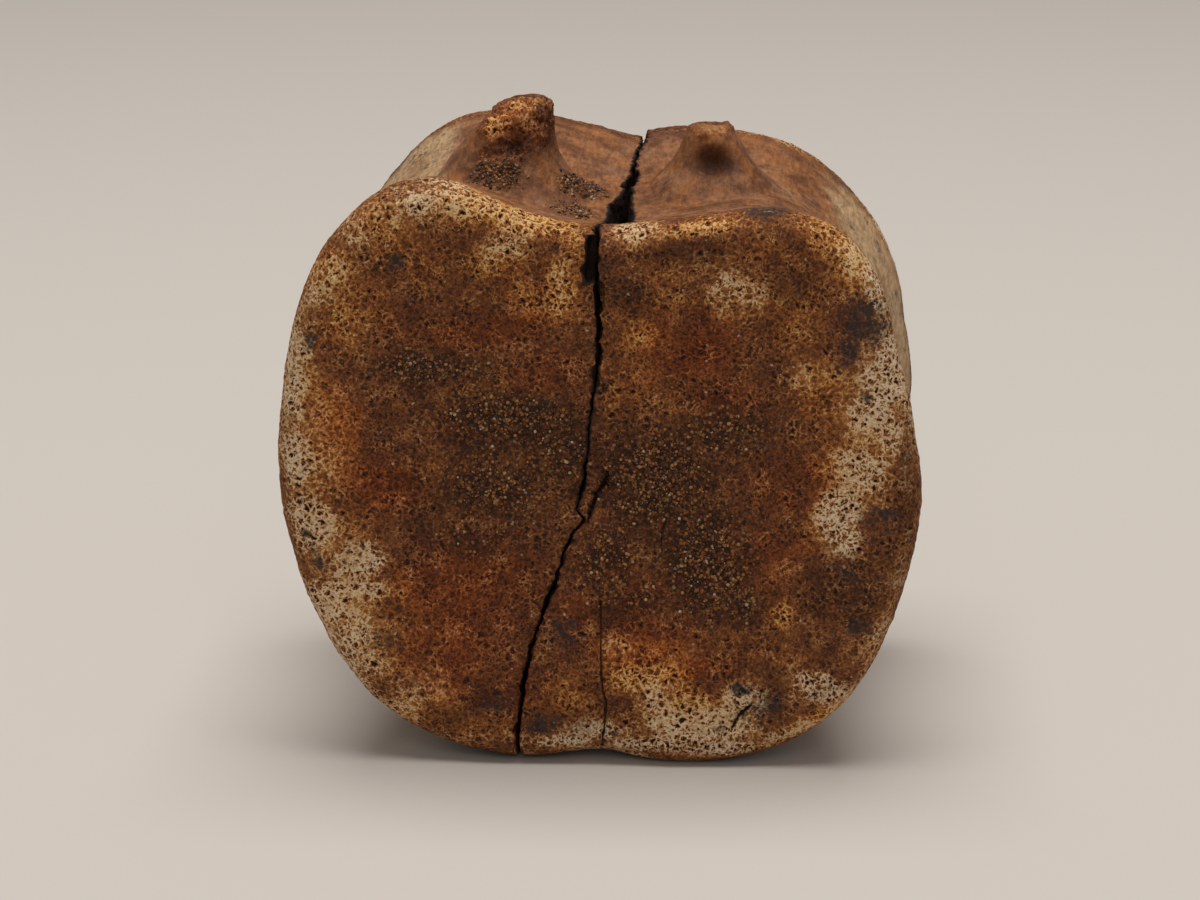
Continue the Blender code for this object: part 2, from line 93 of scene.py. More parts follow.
# Patches on the front face, in mm: x, z, half width, half height, turn in degrees, strength
FRONT_PATCHES = {
    Stain.PALE: (
        (-25.7, 92.6, 9.1, 4.2, 8, 0.74), (-37.7, 87.1, 6.3, 4.2, -40, 0.62),
        (-43, 78.6, 3.1, 6.5, -25, 0.6), (-13.6, 84.9, 6, 2.9, 0, 0.74), (-5.3, 81.4, 2.5, 4.2, 0, 0.5),
        (-46.4, 68.1, 2.8, 4.9, -8, 0.65), (-47.7, 60.3, 3.1, 5.5, 0, 0.85),
        (-47.4, 50.3, 3.8, 6.5, 0, 0.85), (-45.3, 40.6, 5.3, 6.8, 10, 0.85),
        (-37.5, 33.9, 5.3, 3.6, 0, 0.95), (-36.7, 29, 4.7, 2.4, -10, 0.9),
        (-42.7, 27.2, 4.7, 5.9, 25, 0.85), (-38.7, 22, 5.3, 3.9, 30, 0.75), (-36.8, 16, 5.3, 3.3, 42, 0.7),
        (-31.4, 10.7, 5.3, 2.3, 32, 0.55), (16.4, 7.2, 11, 4.2, -4, 0.95), (23.5, 11.6, 5.3, 3.6, 0, 0.85),
        (35.4, 14, 6, 3.3, -18, 0.95), (9.2, 11.4, 3.8, 3.3, 0, 0.8), (3.2, 20.4, 3.8, 2.1, 0, 0.6),
        (12.4, 4.5, 11, 2, -3, 0.8), (0.4, 6.2, 6.9, 2.6, 0, 0.7), (-9.3, 4, 4.1, 1.5, -6, 0.55),
        (44.6, 64.5, 4.1, 6.8, 0, 0.95), (42.9, 59, 5.3, 4.2, -25, 0.9), (46, 55.6, 2.8, 4.9, 0, 0.8),
        (41.5, 50, 6, 4.2, -30, 0.95), (38.1, 43.1, 4.4, 5.5, -15, 0.98), (39.1, 38.5, 3.8, 3.6, 0, 0.9),
        (42.8, 78.9, 2, 6.8, 18, 0.85), (39.9, 84, 3.1, 3.3, 0, 0.6), (21.8, 78.3, 7.5, 4.2, -10, 0.74),
        (15.9, 82.1, 6.3, 2.9, -10, 0.42), (33.4, 65.5, 4.1, 3.6, 0, 0.45),
        (44.8, 23.6, 2.5, 4.2, -30, 0.6), (47.8, 31.9, 1.9, 5.5, -12, 0.55), (5.6, 87, 5, 2.6, 0, 0.78),
        (16.2, 26.2, 3.1, 1.3, 0, 0.3), (-6.1, 4.2, 6.9, 1.5, 0, 0.75), (6.8, 3.8, 6.9, 1.5, 0, 0.85),
        (19.6, 3.5, 8.5, 2, 0, 0.95), (30.7, 6.2, 6.3, 1.5, 20, 0.7), (39.9, 12.5, 5.3, 1.6, 38, 0.65),
        (47.7, 33.7, 1.6, 8.1, -8, 0.5), (48.6, 51.5, 1.4, 9.8, 0, 0.5), (-46, 53.6, 5.3, 14.7, 0, 0.55),
        (-46.2, 40.6, 4.7, 9.8, 8, 0.6), (-41.1, 28.9, 9.4, 8.1, 30, 0.6), (-40, 18.9, 5.3, 6.5, 38, 0.6),
        (-30.1, 10.7, 11, 3.6, 35, 0.55), (-47.2, 63.2, 2.2, 9.8, 0, 0.6), (-18.9, 4.5, 7.9, 1.6, 8, 0.45),
        (42, 56.4, 7.9, 9.8, -20, 0.5),
    ),
    Stain.OCHRE: (
        (-19.2, 91, 9.4, 3.3, -6, 0.85), (-9.7, 88.6, 8.8, 2.9, -6, 0.95), (-3.4, 85.3, 3.5, 3.6, 0, 0.7),
        (-32.8, 87.3, 6.9, 4.9, -30, 0.7), (-39.5, 73.2, 5.7, 6.5, 0, 0.6), (-9, 77.2, 6.9, 4.9, 0, 0.7),
        (-41.9, 53.7, 5.3, 9.8, 0, 0.55), (-40.9, 37.3, 6.9, 6.5, 0, 0.5), (-31.6, 28.8, 4.1, 6.5, 0, 0.45),
        (-33.3, 20.6, 6.3, 6.5, 30, 0.5), (-26.9, 9.9, 7.9, 3.3, 20, 0.55), (-18.9, 6.3, 6.3, 2.6, 10, 0.5),
        (7.4, 15, 8.8, 3.6, 0, 0.95), (14.1, 11.2, 5.7, 3.9, 0, 0.9), (-6, 11.1, 5.3, 3.9, 0, 0.6),
        (36.2, 87, 6.6, 4.2, -25, 0.8), (39.3, 83.1, 3.8, 4.9, 0, 0.8), (31.4, 74.2, 6.3, 6.5, 0, 0.55),
        (35, 62.4, 5.3, 6.2, 0, 0.7), (36.4, 9.2, 9.4, 2, 28, 0.85), (16.7, 88.2, 9.4, 2, 8, 0.75),
        (6.8, 86.2, 6, 2.9, 0, 0.6), (9.7, 75.9, 9.4, 2.4, 0, 0.5), (1, 71.6, 1.4, 6.8, 0, 0.5),
        (2, 60.9, 2, 3.9, 0, 0.55), (29.2, 25.7, 2.7, 3.6, 0, 0.8), (37.2, 49.8, 7.9, 4.9, -30, 0.6),
        (33.8, 38.4, 3.1, 4.9, 0, 0.4), (29, 19.3, 6.9, 2.3, 0, 0.4), (-26.3, 49.3, 1.9, 1.6, 0, 0.6),
        (46.3, 26.9, 3.1, 9.8, -20, 0.4), (-26.1, 82.5, 7.9, 4.2, 5, 0.5), (-18.4, 76.4, 8.8, 2.6, 0, 0.35),
        (-5.9, 77.9, 4.7, 6.5, 0, 0.85), (-15.2, 82.6, 7.2, 3.6, 0, 0.75), (6.6, 71.2, 5.3, 4.2, 0, 0.6),
        (10.9, 81.7, 5.3, 3.6, 0, 0.5), (6.6, 63, 6.9, 5.5, 0, 0.45), (-15.4, 63.4, 9.4, 2.6, 0, 0.35),
        (25.2, 77, 9.4, 4.9, -10, 0.55), (22, 85, 9.4, 3.3, 0, 0.5), (-41.7, 81, 4.1, 4.9, -30, 0.75),
        (-37.1, 76.4, 6.3, 6.5, 0, 0.45), (-45, 60.1, 3.1, 9.8, 0, 0.6), (-43.9, 47.1, 4.7, 9.8, 0, 0.6),
        (-39.2, 27.2, 6.3, 6.5, 25, 0.6), (16.4, 8.9, 12.6, 4.9, -4, 0.6), (6.7, 18.8, 9.4, 3.3, 0, 0.55),
        (-12.4, 48.7, 7.9, 3.9, 0, 0.4), (0.2, 40.6, 3.1, 3.9, 0, 0.45), (39.5, 53.1, 9.4, 11.4, -15, 0.5),
        (31.4, 77.1, 7.9, 9.8, 0, 0.4), (22.6, 21.4, 9.4, 3.3, 0, 0.4), (-1.2, 12.9, 9.4, 4.9, 0, 0.5),
        (-23.4, 48.6, 3.8, 2.3, 0, 0.55),
    ),
    Stain.RUST: (
        (-20.4, 29.8, 12.6, 9.8, 0, 0.85), (-22.8, 19.1, 9.4, 8.1, 0, 0.85),
        (-33.7, 46.3, 6.9, 4.9, -20, 0.95), (-18.5, 71.5, 11, 3.6, 5, 0.75), (-8.3, 65.1, 6.9, 4.2, 0, 0.6),
        (14.7, 68.4, 7.9, 6.8, -10, 0.85), (19.4, 61.3, 6.9, 4.2, 0, 0.7), (29.6, 47.6, 6.9, 5.9, 0, 0.65),
        (25.6, 34.7, 9.4, 6.5, 0, 0.6), (6.7, 21.2, 9.4, 4.9, 0, 0.75), (0.9, 34.2, 4.7, 5.5, 0, 0.9),
        (6.7, 28.4, 5.3, 3.6, 0, 0.8), (-3.7, 25.4, 3.8, 5.5, -20, 0.7), (-13.2, 12.7, 6.3, 5.5, 0, 0.6),
        (-40.6, 57, 6.3, 7.2, 0, 0.6), (16.3, 16.7, 6.9, 2.3, 0, 0.8), (-27.8, 71.6, 9.4, 4.9, 0, 0.4),
    ),
    Stain.BLACK: (
        (-31.4, 82.5, 1.7, 1.8, 0, 0.98), (-33.3, 79.9, 1.9, 1.3, 0, 0.5), (-44.9, 70, 1.3, 2.4, 0, 0.95),
        (-43.4, 73.9, 1.6, 1.3, 0, 0.55), (-46.6, 38.2, 0.9, 1, 0, 0.9), (-44.2, 33.2, 1.9, 1.3, -30, 0.98),
        (-45.3, 35.7, 1.4, 1.3, 0, 0.7), (-33.9, 20.6, 4.1, 2.3, -20, 0.75), (-9.1, 6.6, 2.8, 1.6, 0, 0.95),
        (-6, 22.6, 2.2, 2.6, 0, 0.72), (41.3, 73.7, 4.1, 5.2, 20, 0.98), (38.9, 69.2, 2.7, 4.2, -20, 0.85),
        (34.9, 72.7, 3.8, 2.9, 0, 0.5), (42.2, 61.7, 1.4, 1.3, 0, 0.95), (45, 43, 2.8, 1.8, -10, 0.9),
        (42.6, 39.1, 2.2, 2, 0, 0.65), (39.2, 33, 3.5, 1.8, -10, 0.7), (41.9, 24.2, 2.8, 1.8, -30, 0.85),
        (36.9, 22, 5.3, 1.6, 0, 0.5), (23, 13.3, 2.2, 1.3, 0, 0.95), (28.1, 10.7, 1.6, 2.6, 0, 0.85),
        (19.6, 6.5, 1.3, 1, 0, 0.9), (2.9, 5.6, 0.9, 0.8, 0, 0.9), (26.5, 90.8, 5.3, 1.5, 8, 0.8),
        (4.7, 77.6, 3.1, 2.3, 0, 0.5), (14.3, 84.9, 7.9, 2, 6, 0.4), (29.8, 79.5, 4.1, 3.3, 0, 0.4),
        (-10.8, 58.9, 5.3, 2, 8, 0.6), (-27.1, 66.4, 3.8, 1.6, 0, 0.55), (48.2, 50, 1.3, 6.5, 0, 0.35),
        (16.1, 36.8, 3.8, 3.9, 0, 0.5), (8.1, 47.2, 4.7, 3.9, 0, 0.45), (-6.1, 53.6, 6.3, 2, 0, 0.5),
        (-23.2, 43.7, 1.9, 1.6, 0, 0.4), (-47.1, 43.8, 1.3, 2.3, 0, 0.35), (43.8, 41.9, 4.7, 3.6, -25, 0.6),
        (39.9, 31.4, 6.3, 2.9, 0, 0.5), (25.9, 9, 4.1, 2.9, 0, 0.6), (-8.5, 7.4, 4.1, 2.3, 0, 0.7),
        (-5.1, 22.1, 3.1, 3.3, 0, 0.7), (-16.1, 10.7, 3.1, 2.6, 0, 0.62), (19.6, 4.9, 1.9, 1.3, 0, 0.6),
    ),
    Stain.SAND: (
        (-29.1, 65.4, 6.9, 2.9, 0, 0.95), (-20.1, 64.7, 4.7, 2.3, 0, 0.6),
        (-15.5, 57.9, 10.1, 4.2, 0, 0.95), (-15.6, 47, 11, 6.5, 0, 0.75), (8.9, 47.6, 9.4, 8.8, 0, 0.95),
        (17.4, 34.4, 7.2, 9.8, 0, 0.98), (1.2, 34.8, 5.3, 7.5, 0, 0.8), (20.2, 55.5, 7.9, 4.2, 0, 0.85),
        (22.9, 27, 2.5, 4.9, 0, 0.8), (-6.1, 51.9, 5.3, 6.5, 0, 0.7), (-20.4, 37.2, 7.9, 3.9, 0, 0.5),
        (6.7, 28.4, 4.7, 3.3, 0, 0.6),
    ),
    Stain.UMBER_AND_SHADE: (
        (14.3, 84.6, 9.4, 2.6, 6, 0.7), (30.1, 79.3, 5.3, 4.2, 0, 0.65), (4.7, 77.1, 4.4, 3.3, 0, 0.7),
        (-16.5, 10.4, 6.9, 4.6, 0, 0.5), (-11.6, 56.2, 12.6, 3.9, 5, 0.75), (8.4, 47.2, 9.4, 8.8, 0, 0.6),
        (16.4, 36, 7.9, 10.4, 0, 0.65), (-5.3, 52.9, 6.9, 5.9, 0, 0.7), (-26.3, 66.4, 9.4, 4.2, 0, 0.5),
        (39.9, 30.4, 9.4, 6.8, 10, 0.6), (47.2, 30.3, 2.5, 11.4, -12, 0.5), (48.4, 48.4, 1.9, 11.4, 0, 0.6),
        (1.3, 24.5, 6.3, 3.3, 0, 0.45), (27.5, 11.7, 3.1, 5.5, 0, 0.6), (-20.3, 43.7, 11, 9.8, 0, 0.35),
        (-12.4, 34, 7.9, 9.8, 0, 0.4), (-22.2, 81.2, 4.7, 4.9, 0, 0.4), (0.2, 48.8, 5.3, 6.5, 0, 0.5),
        (-9.3, 27.5, 4.7, 6.5, -20, 0.35), (-2.9, 7.8, 4.7, 2.6, 0, 0.4), (37, 13.7, 9.4, 2, 28, 0.3),
    ),
}

# Patches elsewhere, in mm: centre, half sizes, strength
BODY_PATCHES = {
    Stain.BLACK: (
        ((-3.4, 3.6, 87.0), (3.2, 4.3, 3.0), 0.75),
        # painted shade in the hollow of the right pedicel, partly a black stain
        ((17.4, 2.4, 91.0), (3.8, 4.6, 2.2), 0.62),
        ((48.0, 14.0, 62.0), (6.0, 10.0, 12.0), 0.45),
        ((46.0, 8.0, 76.0), (6.0, 8.0, 6.0), 0.5),
        ((-47.0, 12.0, 78.0), (7.0, 10.0, 8.0), 0.5),
        ((-50.0, -6.0, 50.0), (6.0, 9.0, 6.0), 0.45),
        ((-33.0, 22.0, 88.0), (8.0, 9.0, 5.0), 0.45),
        ((-36.0, -6.0, 86.0), (6.0, 9.0, 5.0), 0.4),
        ((-22.0, 36.0, 60.0), (9.0, 5.0, 6.0), 0.6),
        ((28.0, 36.0, 30.0), (7.0, 5.0, 9.0), 0.7),
        ((10.0, 8.0, 6.0), (12.0, 9.0, 6.0), 0.5),
    ),
    Stain.SAND: (
        ((-18.1, -8.2, 91.0), (5.0, 3.4, 3.0), 0.98),
        ((-7.6, -2.0, 87.6), (3.4, 4.6, 3.0), 0.98),
        ((-4.0, 1.6, 87.0), (3.4, 5.0, 3.0), 0.98),
        ((-5.3, -11.2, 85.5), (4.3, 5.0, 3.0), 0.7),
        ((0.0, 34.0, 44.0), (17.0, 6.0, 15.0), 0.9),
        ((-16.0, 34.0, 30.0), (11.0, 6.0, 10.0), 0.7),
        ((0.0, 6.0, 8.0), (10.0, 20.0, 8.0), 0.5),
    ),
    Stain.PALE: (
        ((-15.5, -3.0, 99.5), (6.0, 6.0, 5.0), 0.36),
        ((16.6, 6.0, 97.2), (4.8, 5.0, 2.4), 0.66),
        ((-40.0, 34.0, 22.0), (10.0, 9.0, 14.0), 0.8),
        ((43.0, 34.0, 70.0), (9.0, 9.0, 14.0), 0.85),
        ((-46.0, 34.0, 62.0), (6.0, 9.0, 12.0), 0.7),
        ((20.0, 34.0, 8.0), (20.0, 9.0, 6.0), 0.75),
        ((30.0, 34.0, 88.0), (12.0, 8.0, 6.0), 0.6),
        ((-26.0, 34.0, 90.0), (12.0, 8.0, 6.0), 0.6),
        ((46.0, 0.0, 30.0), (8.0, 16.0, 9.0), 0.45),
        ((-46.0, 6.0, 28.0), (8.0, 14.0, 9.0), 0.55),
    ),
    Stain.OCHRE: (
        ((-18.6, -4.6, 98.6), (3.4, 5.0, 3.0), 0.9),
        ((-14.8, -2.0, 102.0), (4.0, 5.0, 2.0), 0.7),
        ((16.6, 6.0, 97.0), (4.8, 5.0, 2.2), 0.6),
        ((-36.0, 34.0, 44.0), (12.0, 8.0, 16.0), 0.7),
        ((30.0, 34.0, 56.0), (14.0, 8.0, 18.0), 0.7),
        ((-10.0, 34.0, 84.0), (16.0, 8.0, 7.0), 0.75),
        ((0.0, 34.0, 8.0), (26.0, 8.0, 7.0), 0.7),
        ((45.0, 4.0, 52.0), (10.0, 18.0, 14.0), 0.45),
    ),
    Stain.UMBER_AND_SHADE: (
        # The first three darken the pedicel hollows: partly brown stain, partly painted shade
        ((-16.5, -6.0, 95.0), (5.0, 4.0, 5.0), 0.6),
        ((16.6, 2.8, 91.4), (5.6, 5.0, 3.4), 1.0),
        ((17.6, 0.6, 89.8), (5.0, 3.4, 2.0), 0.7),
        ((14.0, -6.0, 88.0), (9.0, 8.0, 4.0), 0.4),
        ((0.0, 34.0, 44.0), (22.0, 7.0, 20.0), 0.6),
    ),
    Stain.RUST: (
        ((-14.0, 34.0, 52.0), (16.0, 8.0, 22.0), 0.8),
        ((16.0, 34.0, 34.0), (16.0, 8.0, 20.0), 0.8),
        ((-18.0, -4.0, 96.0), (8.0, 8.0, 8.0), 0.5),
        ((17.0, 8.0, 88.0), (14.0, 14.0, 5.0), 0.5),
    ),
}

# Lines of cracks in the front face, in mm: half width, depth and the (x, z) points
FRONT_CRACKS = (
    (0.26, 1.3, ((1.5, 48.4), (1.3, 47.6), (0.4, 46.2), (-0.2, 45.0), (-0.7, 43.5), (-1.3, 42.4),
                 (-1.6, 40.0))),
    (0.20, 0.8, ((0.3, 27.5), (0.5, 22.0), (0.5, 15.9), (0.7, 13.3), (1.3, 10.9), (1.2, 8.4), (1.0, 6.4),
                 (0.6, 3.0))),
    (0.18, 0.5, ((10.6, 40.5), (10.0, 38.6), (9.9, 36.4), (10.3, 34.9))),
    (0.20, 0.6, ((24.6, 10.8), (22.6, 9.0), (21.4, 6.6))),
)

# Hollows sunk into the pedicels: centre, half sizes and depth in mm, and how much painted shade lies in
# them, up to 1
PEDICEL_HOLLOWS = {
    "pedicel_left": (
        ((-16.0, -5.4, 95.2), (3.8, 4.5, 3.6), 1.5, 0.55),
        ((-19.6, -3.4, 93.6), (2.6, 4.0, 2.6), 0.9, 0.2),
        ((-13.4, -1.0, 102.2), (1.5, 4.0, 1.9), 1.3, 0.0),
        ((-12.4, -5.0, 97.0), (1.6, 3.0, 3.0), 0.6, 0.3),
    ),
    "pedicel_right": (
        ((16.8, 2.6, 91.6), (4.8, 4.8, 3.2), 2.4, 0.62),
        ((18.4, 1.6, 90.6), (3.6, 4.2, 2.2), 0.6, 0.40),
        ((16.6, 9.0, 97.0), (3.0, 4.0, 1.4), 0.5, 0.0),
    ),
}

# Rough broken parts of the pedicels: centre and half sizes in mm, and how much of the skin is lost
BROKEN_TOPS = {
    "pedicel_left": (
        ((-14.6, -1.5, 98.6), (8.0, 8.5, 6.4), 1.0),
        ((-17.5, -6.0, 93.0), (4.5, 4.0, 3.5), 1.0),
    ),
    "pedicel_right": (((16.4, 7.0, 97.2), (6.2, 6.0, 2.6), 0.6),),
}

# Middle of the break, of the canal, of the raised rims and of the hollowed ends, in mm
BREAK_X = -2.0
CANAL_X = 0.5
RIM_Y = 33.0
RIM_Z = 46.0
DISH_Z = 43.9

# Sizes of the large and the small pores, in mm
PORE_SIZES = (1.15, 0.60)


def smooth_fall(distance: np.ndarray, inner: float, outer: float) -> np.ndarray:
    """Return 1 within the inner distance, falling smoothly to 0 at the outer one.

    Args:
        distance: distances, or any other measure.
        inner: where the fall starts.
        outer: where it ends.

    Returns:
        A share from 0 to 1 for each distance.
    """
    share = np.clip((outer - distance) / (outer - inner), 0.0, 1.0)
    return share * share * (3.0 - 2.0 * share)


class Fade(Enum):
    """Limits between which a share falls from 1 to 0, in mm, or in half sizes for a patch."""

    FRONT = (-30.0, -22.0)
    FRONT_PATCH = (0.25, 1.55)
    BODY_PATCH = (0.45, 1.35)
    BROKEN_TOP = (0.7, 1.15)
    HOLLOW = (0.0, 1.0)
    HOLLOW_SHADE = (0.1, 1.15)
    CHIP_BED = (0.50, 0.56)
    RIM_LINE = (1.0, 4.5)
    RIM_REACH = (-44.0, -36.0)
    RIM_TOP = (-84.0, -70.0)
    SMOOTH_SKIN = (26.0, 32.5)
    FLANK = (-43.0, -30.0)
    FLOOR = (0.15, 1.2)
    FOOT = (0.8, 3.0)
    BREAK_BAND = (12.0, 16.0)
    BREAK_DEPTH = (33.2, 34.8)
    BREAK_DISH = (39.5, 43.0)
    BREAK_TOP = (82.0, 84.8)
    CANAL_BAND = (4.5, 6.5)
    CANAL_HEIGHT = (-82.0, -80.0)
    CANAL_DEPTH = (31.5, 33.5)
    EDGE = (0.3, 2.2)
    SEAM = (0.6, 5.0)

    def of(self, distance: np.ndarray) -> np.ndarray:
        """Return the share at each distance."""
        return smooth_fall(distance, *self.value)


@dataclass(frozen=True)
class Chip:
    """A flake lost from the bone.

    Args:
        centre: middle of the flake, in mm.
        size: full width, depth and height, in mm.
        turn: turn about the tail axis, in degrees.
        shade: how much painted shade lies in its bed, up to 1.
    """

    centre: tuple[float, float, float]
    size: tuple[float, float, float]
    turn: float
    shade: float = 0.35

    def share(self, points: np.ndarray) -> np.ndarray:
        """Return the shade at points on the walls of the flake's bed, and 0 outside it.

        Args:
            points: places in mm, one row each.

        Returns:
            A number from 0 to 1 for each point.
        """
        c, s = math.cos(math.radians(self.turn)), math.sin(math.radians(self.turn))
        x, y, z = (points - self.centre).T
        away = np.stack(((x * c - z * s), y, (x * s + z * c))) / np.array(self.size)[:, None]
        return self.shade * Fade.CHIP_BED.of(np.abs(away).max(axis=0))


LEFT_CHIPS = (
    Chip((-1.1, -35.2, 83.3), (2.1, 9.0, 6.6), 2.0, 1.0),
    Chip((-1.5, -35.2, 80.4), (1.7, 8.0, 2.6), -6.0, 1.0),
    Chip((-3.3, -34.6, 45.4), (2.0, 3.6, 3.4), 18.0),
    Chip((-0.2, -34.9, 64.6), (1.8, 2.6, 2.4), -25.0),
    Chip((-12.9, -36.4, 6.6), (1.6, 3.2, 3.0), 30.0),
)
RIGHT_CHIPS = (
    Chip((0.9, -35.2, 62.2), (1.6, 2.4, 2.6), 30.0),
    Chip((0.4, -35.6, 77.0), (1.2, 2.2, 5.0), 4.0),
)


def away_from(points: np.ndarray, centre: tuple, reach: tuple) -> np.ndarray:
    """Return how far points are from the middle of a patch, in its half sizes.

    Args:
        points: places in mm, one row each.
        centre: middle of the patch, in mm.
        reach: its half sizes, in mm.

    Returns:
        A distance for each point.
    """
    return np.linalg.norm((points - centre) / reach, axis=1)


def deselect_all() -> None:
    """Leave nothing selected and no object active."""
    for item in bpy.context.view_layer.objects:
        item.select_set(False)
    bpy.context.view_layer.objects.active = None


def pick(piece: bpy.types.Object) -> None:
    """Make one object the only one selected, and active.

    Args:
        piece: the object.
    """
    deselect_all()
    piece.select_set(True)
    bpy.context.view_layer.objects.active = piece


def use_modifier(piece: bpy.types.Object, kind: str, **settings: object) -> None:
    """Add a modifier, set it and apply it at once.

    Args:
        piece: the object to change.
        kind: the modifier's type.
        settings: its properties by name.
    """
    pick(piece)
    modifier = piece.modifiers.new(kind.lower(), kind)
    for name, value in settings.items():
        setattr(modifier, name, value)
    bpy.ops.object.modifier_apply(modifier=modifier.name)


def read_rows(items: object, name: str) -> np.ndarray:
    """Return three numbers from each item of a mesh.

    Args:
        items: the mesh's points or normals.
        name: the property that holds the numbers.

    Returns:
        One row an item.
    """
    flat = np.empty(len(items) * 3, np.float32)
    items.foreach_get(name, flat)
    return flat.reshape(-1, 3).astype(float)


def points_of(piece: bpy.types.Object) -> np.ndarray:
    """Return an object's points in mm, one row each."""
    return read_rows(piece.data.vertices, "co") / MM


def normals_of(piece: bpy.types.Object) -> np.ndarray:
    """Return the normals at an object's points, one row each."""
    return read_rows(piece.data.vertex_normals, "vector")


def move_points(piece: bpy.types.Object, points: np.ndarray) -> None:
    """Put an object's points at new places, given in mm."""
    piece.data.vertices.foreach_set("co", (points * MM).astype(np.float32).ravel())
    piece.data.update()


def keep_values(piece: bpy.types.Object, name: str, values: np.ndarray) -> None:
    """Store a number or a place at every point of an object.

    Args:
        piece: the object.
        name: the attribute's name.
        values: one number a point, or three.
    """
    kind, field = ("FLOAT_VECTOR", "vector") if values.ndim == 2 else ("FLOAT", "value")
    attribute = piece.data.attributes.new(name, kind, "POINT")
    attribute.data.foreach_set(field, values.astype(np.float32).ravel())


class Noise(Enum):
    """Kinds of noise over the bone: width of the lumps in mm, finer layers, their strength, and a shift.

    The shifts keep two kinds from matching.
    """

    RAGGED = (5.0, 5.0, 0.68, 3.1)
    SPECKLE = (0.85, 2.0, 0.6, 8.3)
    OPENNESS = (3.5, 4.0, 0.65, 31.0)
    LUMP = (6.0, 4.0, 0.55, 2.0)
    GRIT = (1.2, 3.0, 0.65, 5.0)
    CRAG = (2.2, 5.0, 0.62, 9.0)
    FLAKE = (2.4, 3.0, 0.6, 12.0)
    WALL = (5.0, 3.0, 0.6, 13.0)
    JAG = (2.4, 5.0, 0.74, 21.0)
    BROAD = (5.0, 4.0, 0.6, 1.0)
    FINE = (0.45, 4.0, 0.8, 11.0)
    WORN = (0.42, 4.0, 0.8, 61.0)
    PATCHY = (5.0, 6.0, 0.76, 6.0)
    # partly a pinkish tone, partly painted sheen
    PINK_SHEEN = (9.0, 3.0, 0.6, 17.0)
    RUDDY = (14.0, 6.0, 0.7, 37.0)
    SPOTS = (3.2, 6.0, 0.75, 9.0)
    SPOTTED_AREAS = (12.0, 2.0, 0.5, 41.0)
    FLANK_LIMIT = (4.0, 5.0, 0.7, 52.0)
    SKIN_GRAIN = (0.9, 4.0, 0.7, 2.0)
    BLOT = (0.9, 4.0, 0.75, 15.0)
    SHADOW = (0.9, 4.0, 0.75, 27.0)
    SHEEN = (1.4, 3.0, 0.6, 4.0)
    BUMP = (0.45, 3.0, 0.7, 7.0)
    DUST = (0.25, 2.0, 0.6, 3.0)


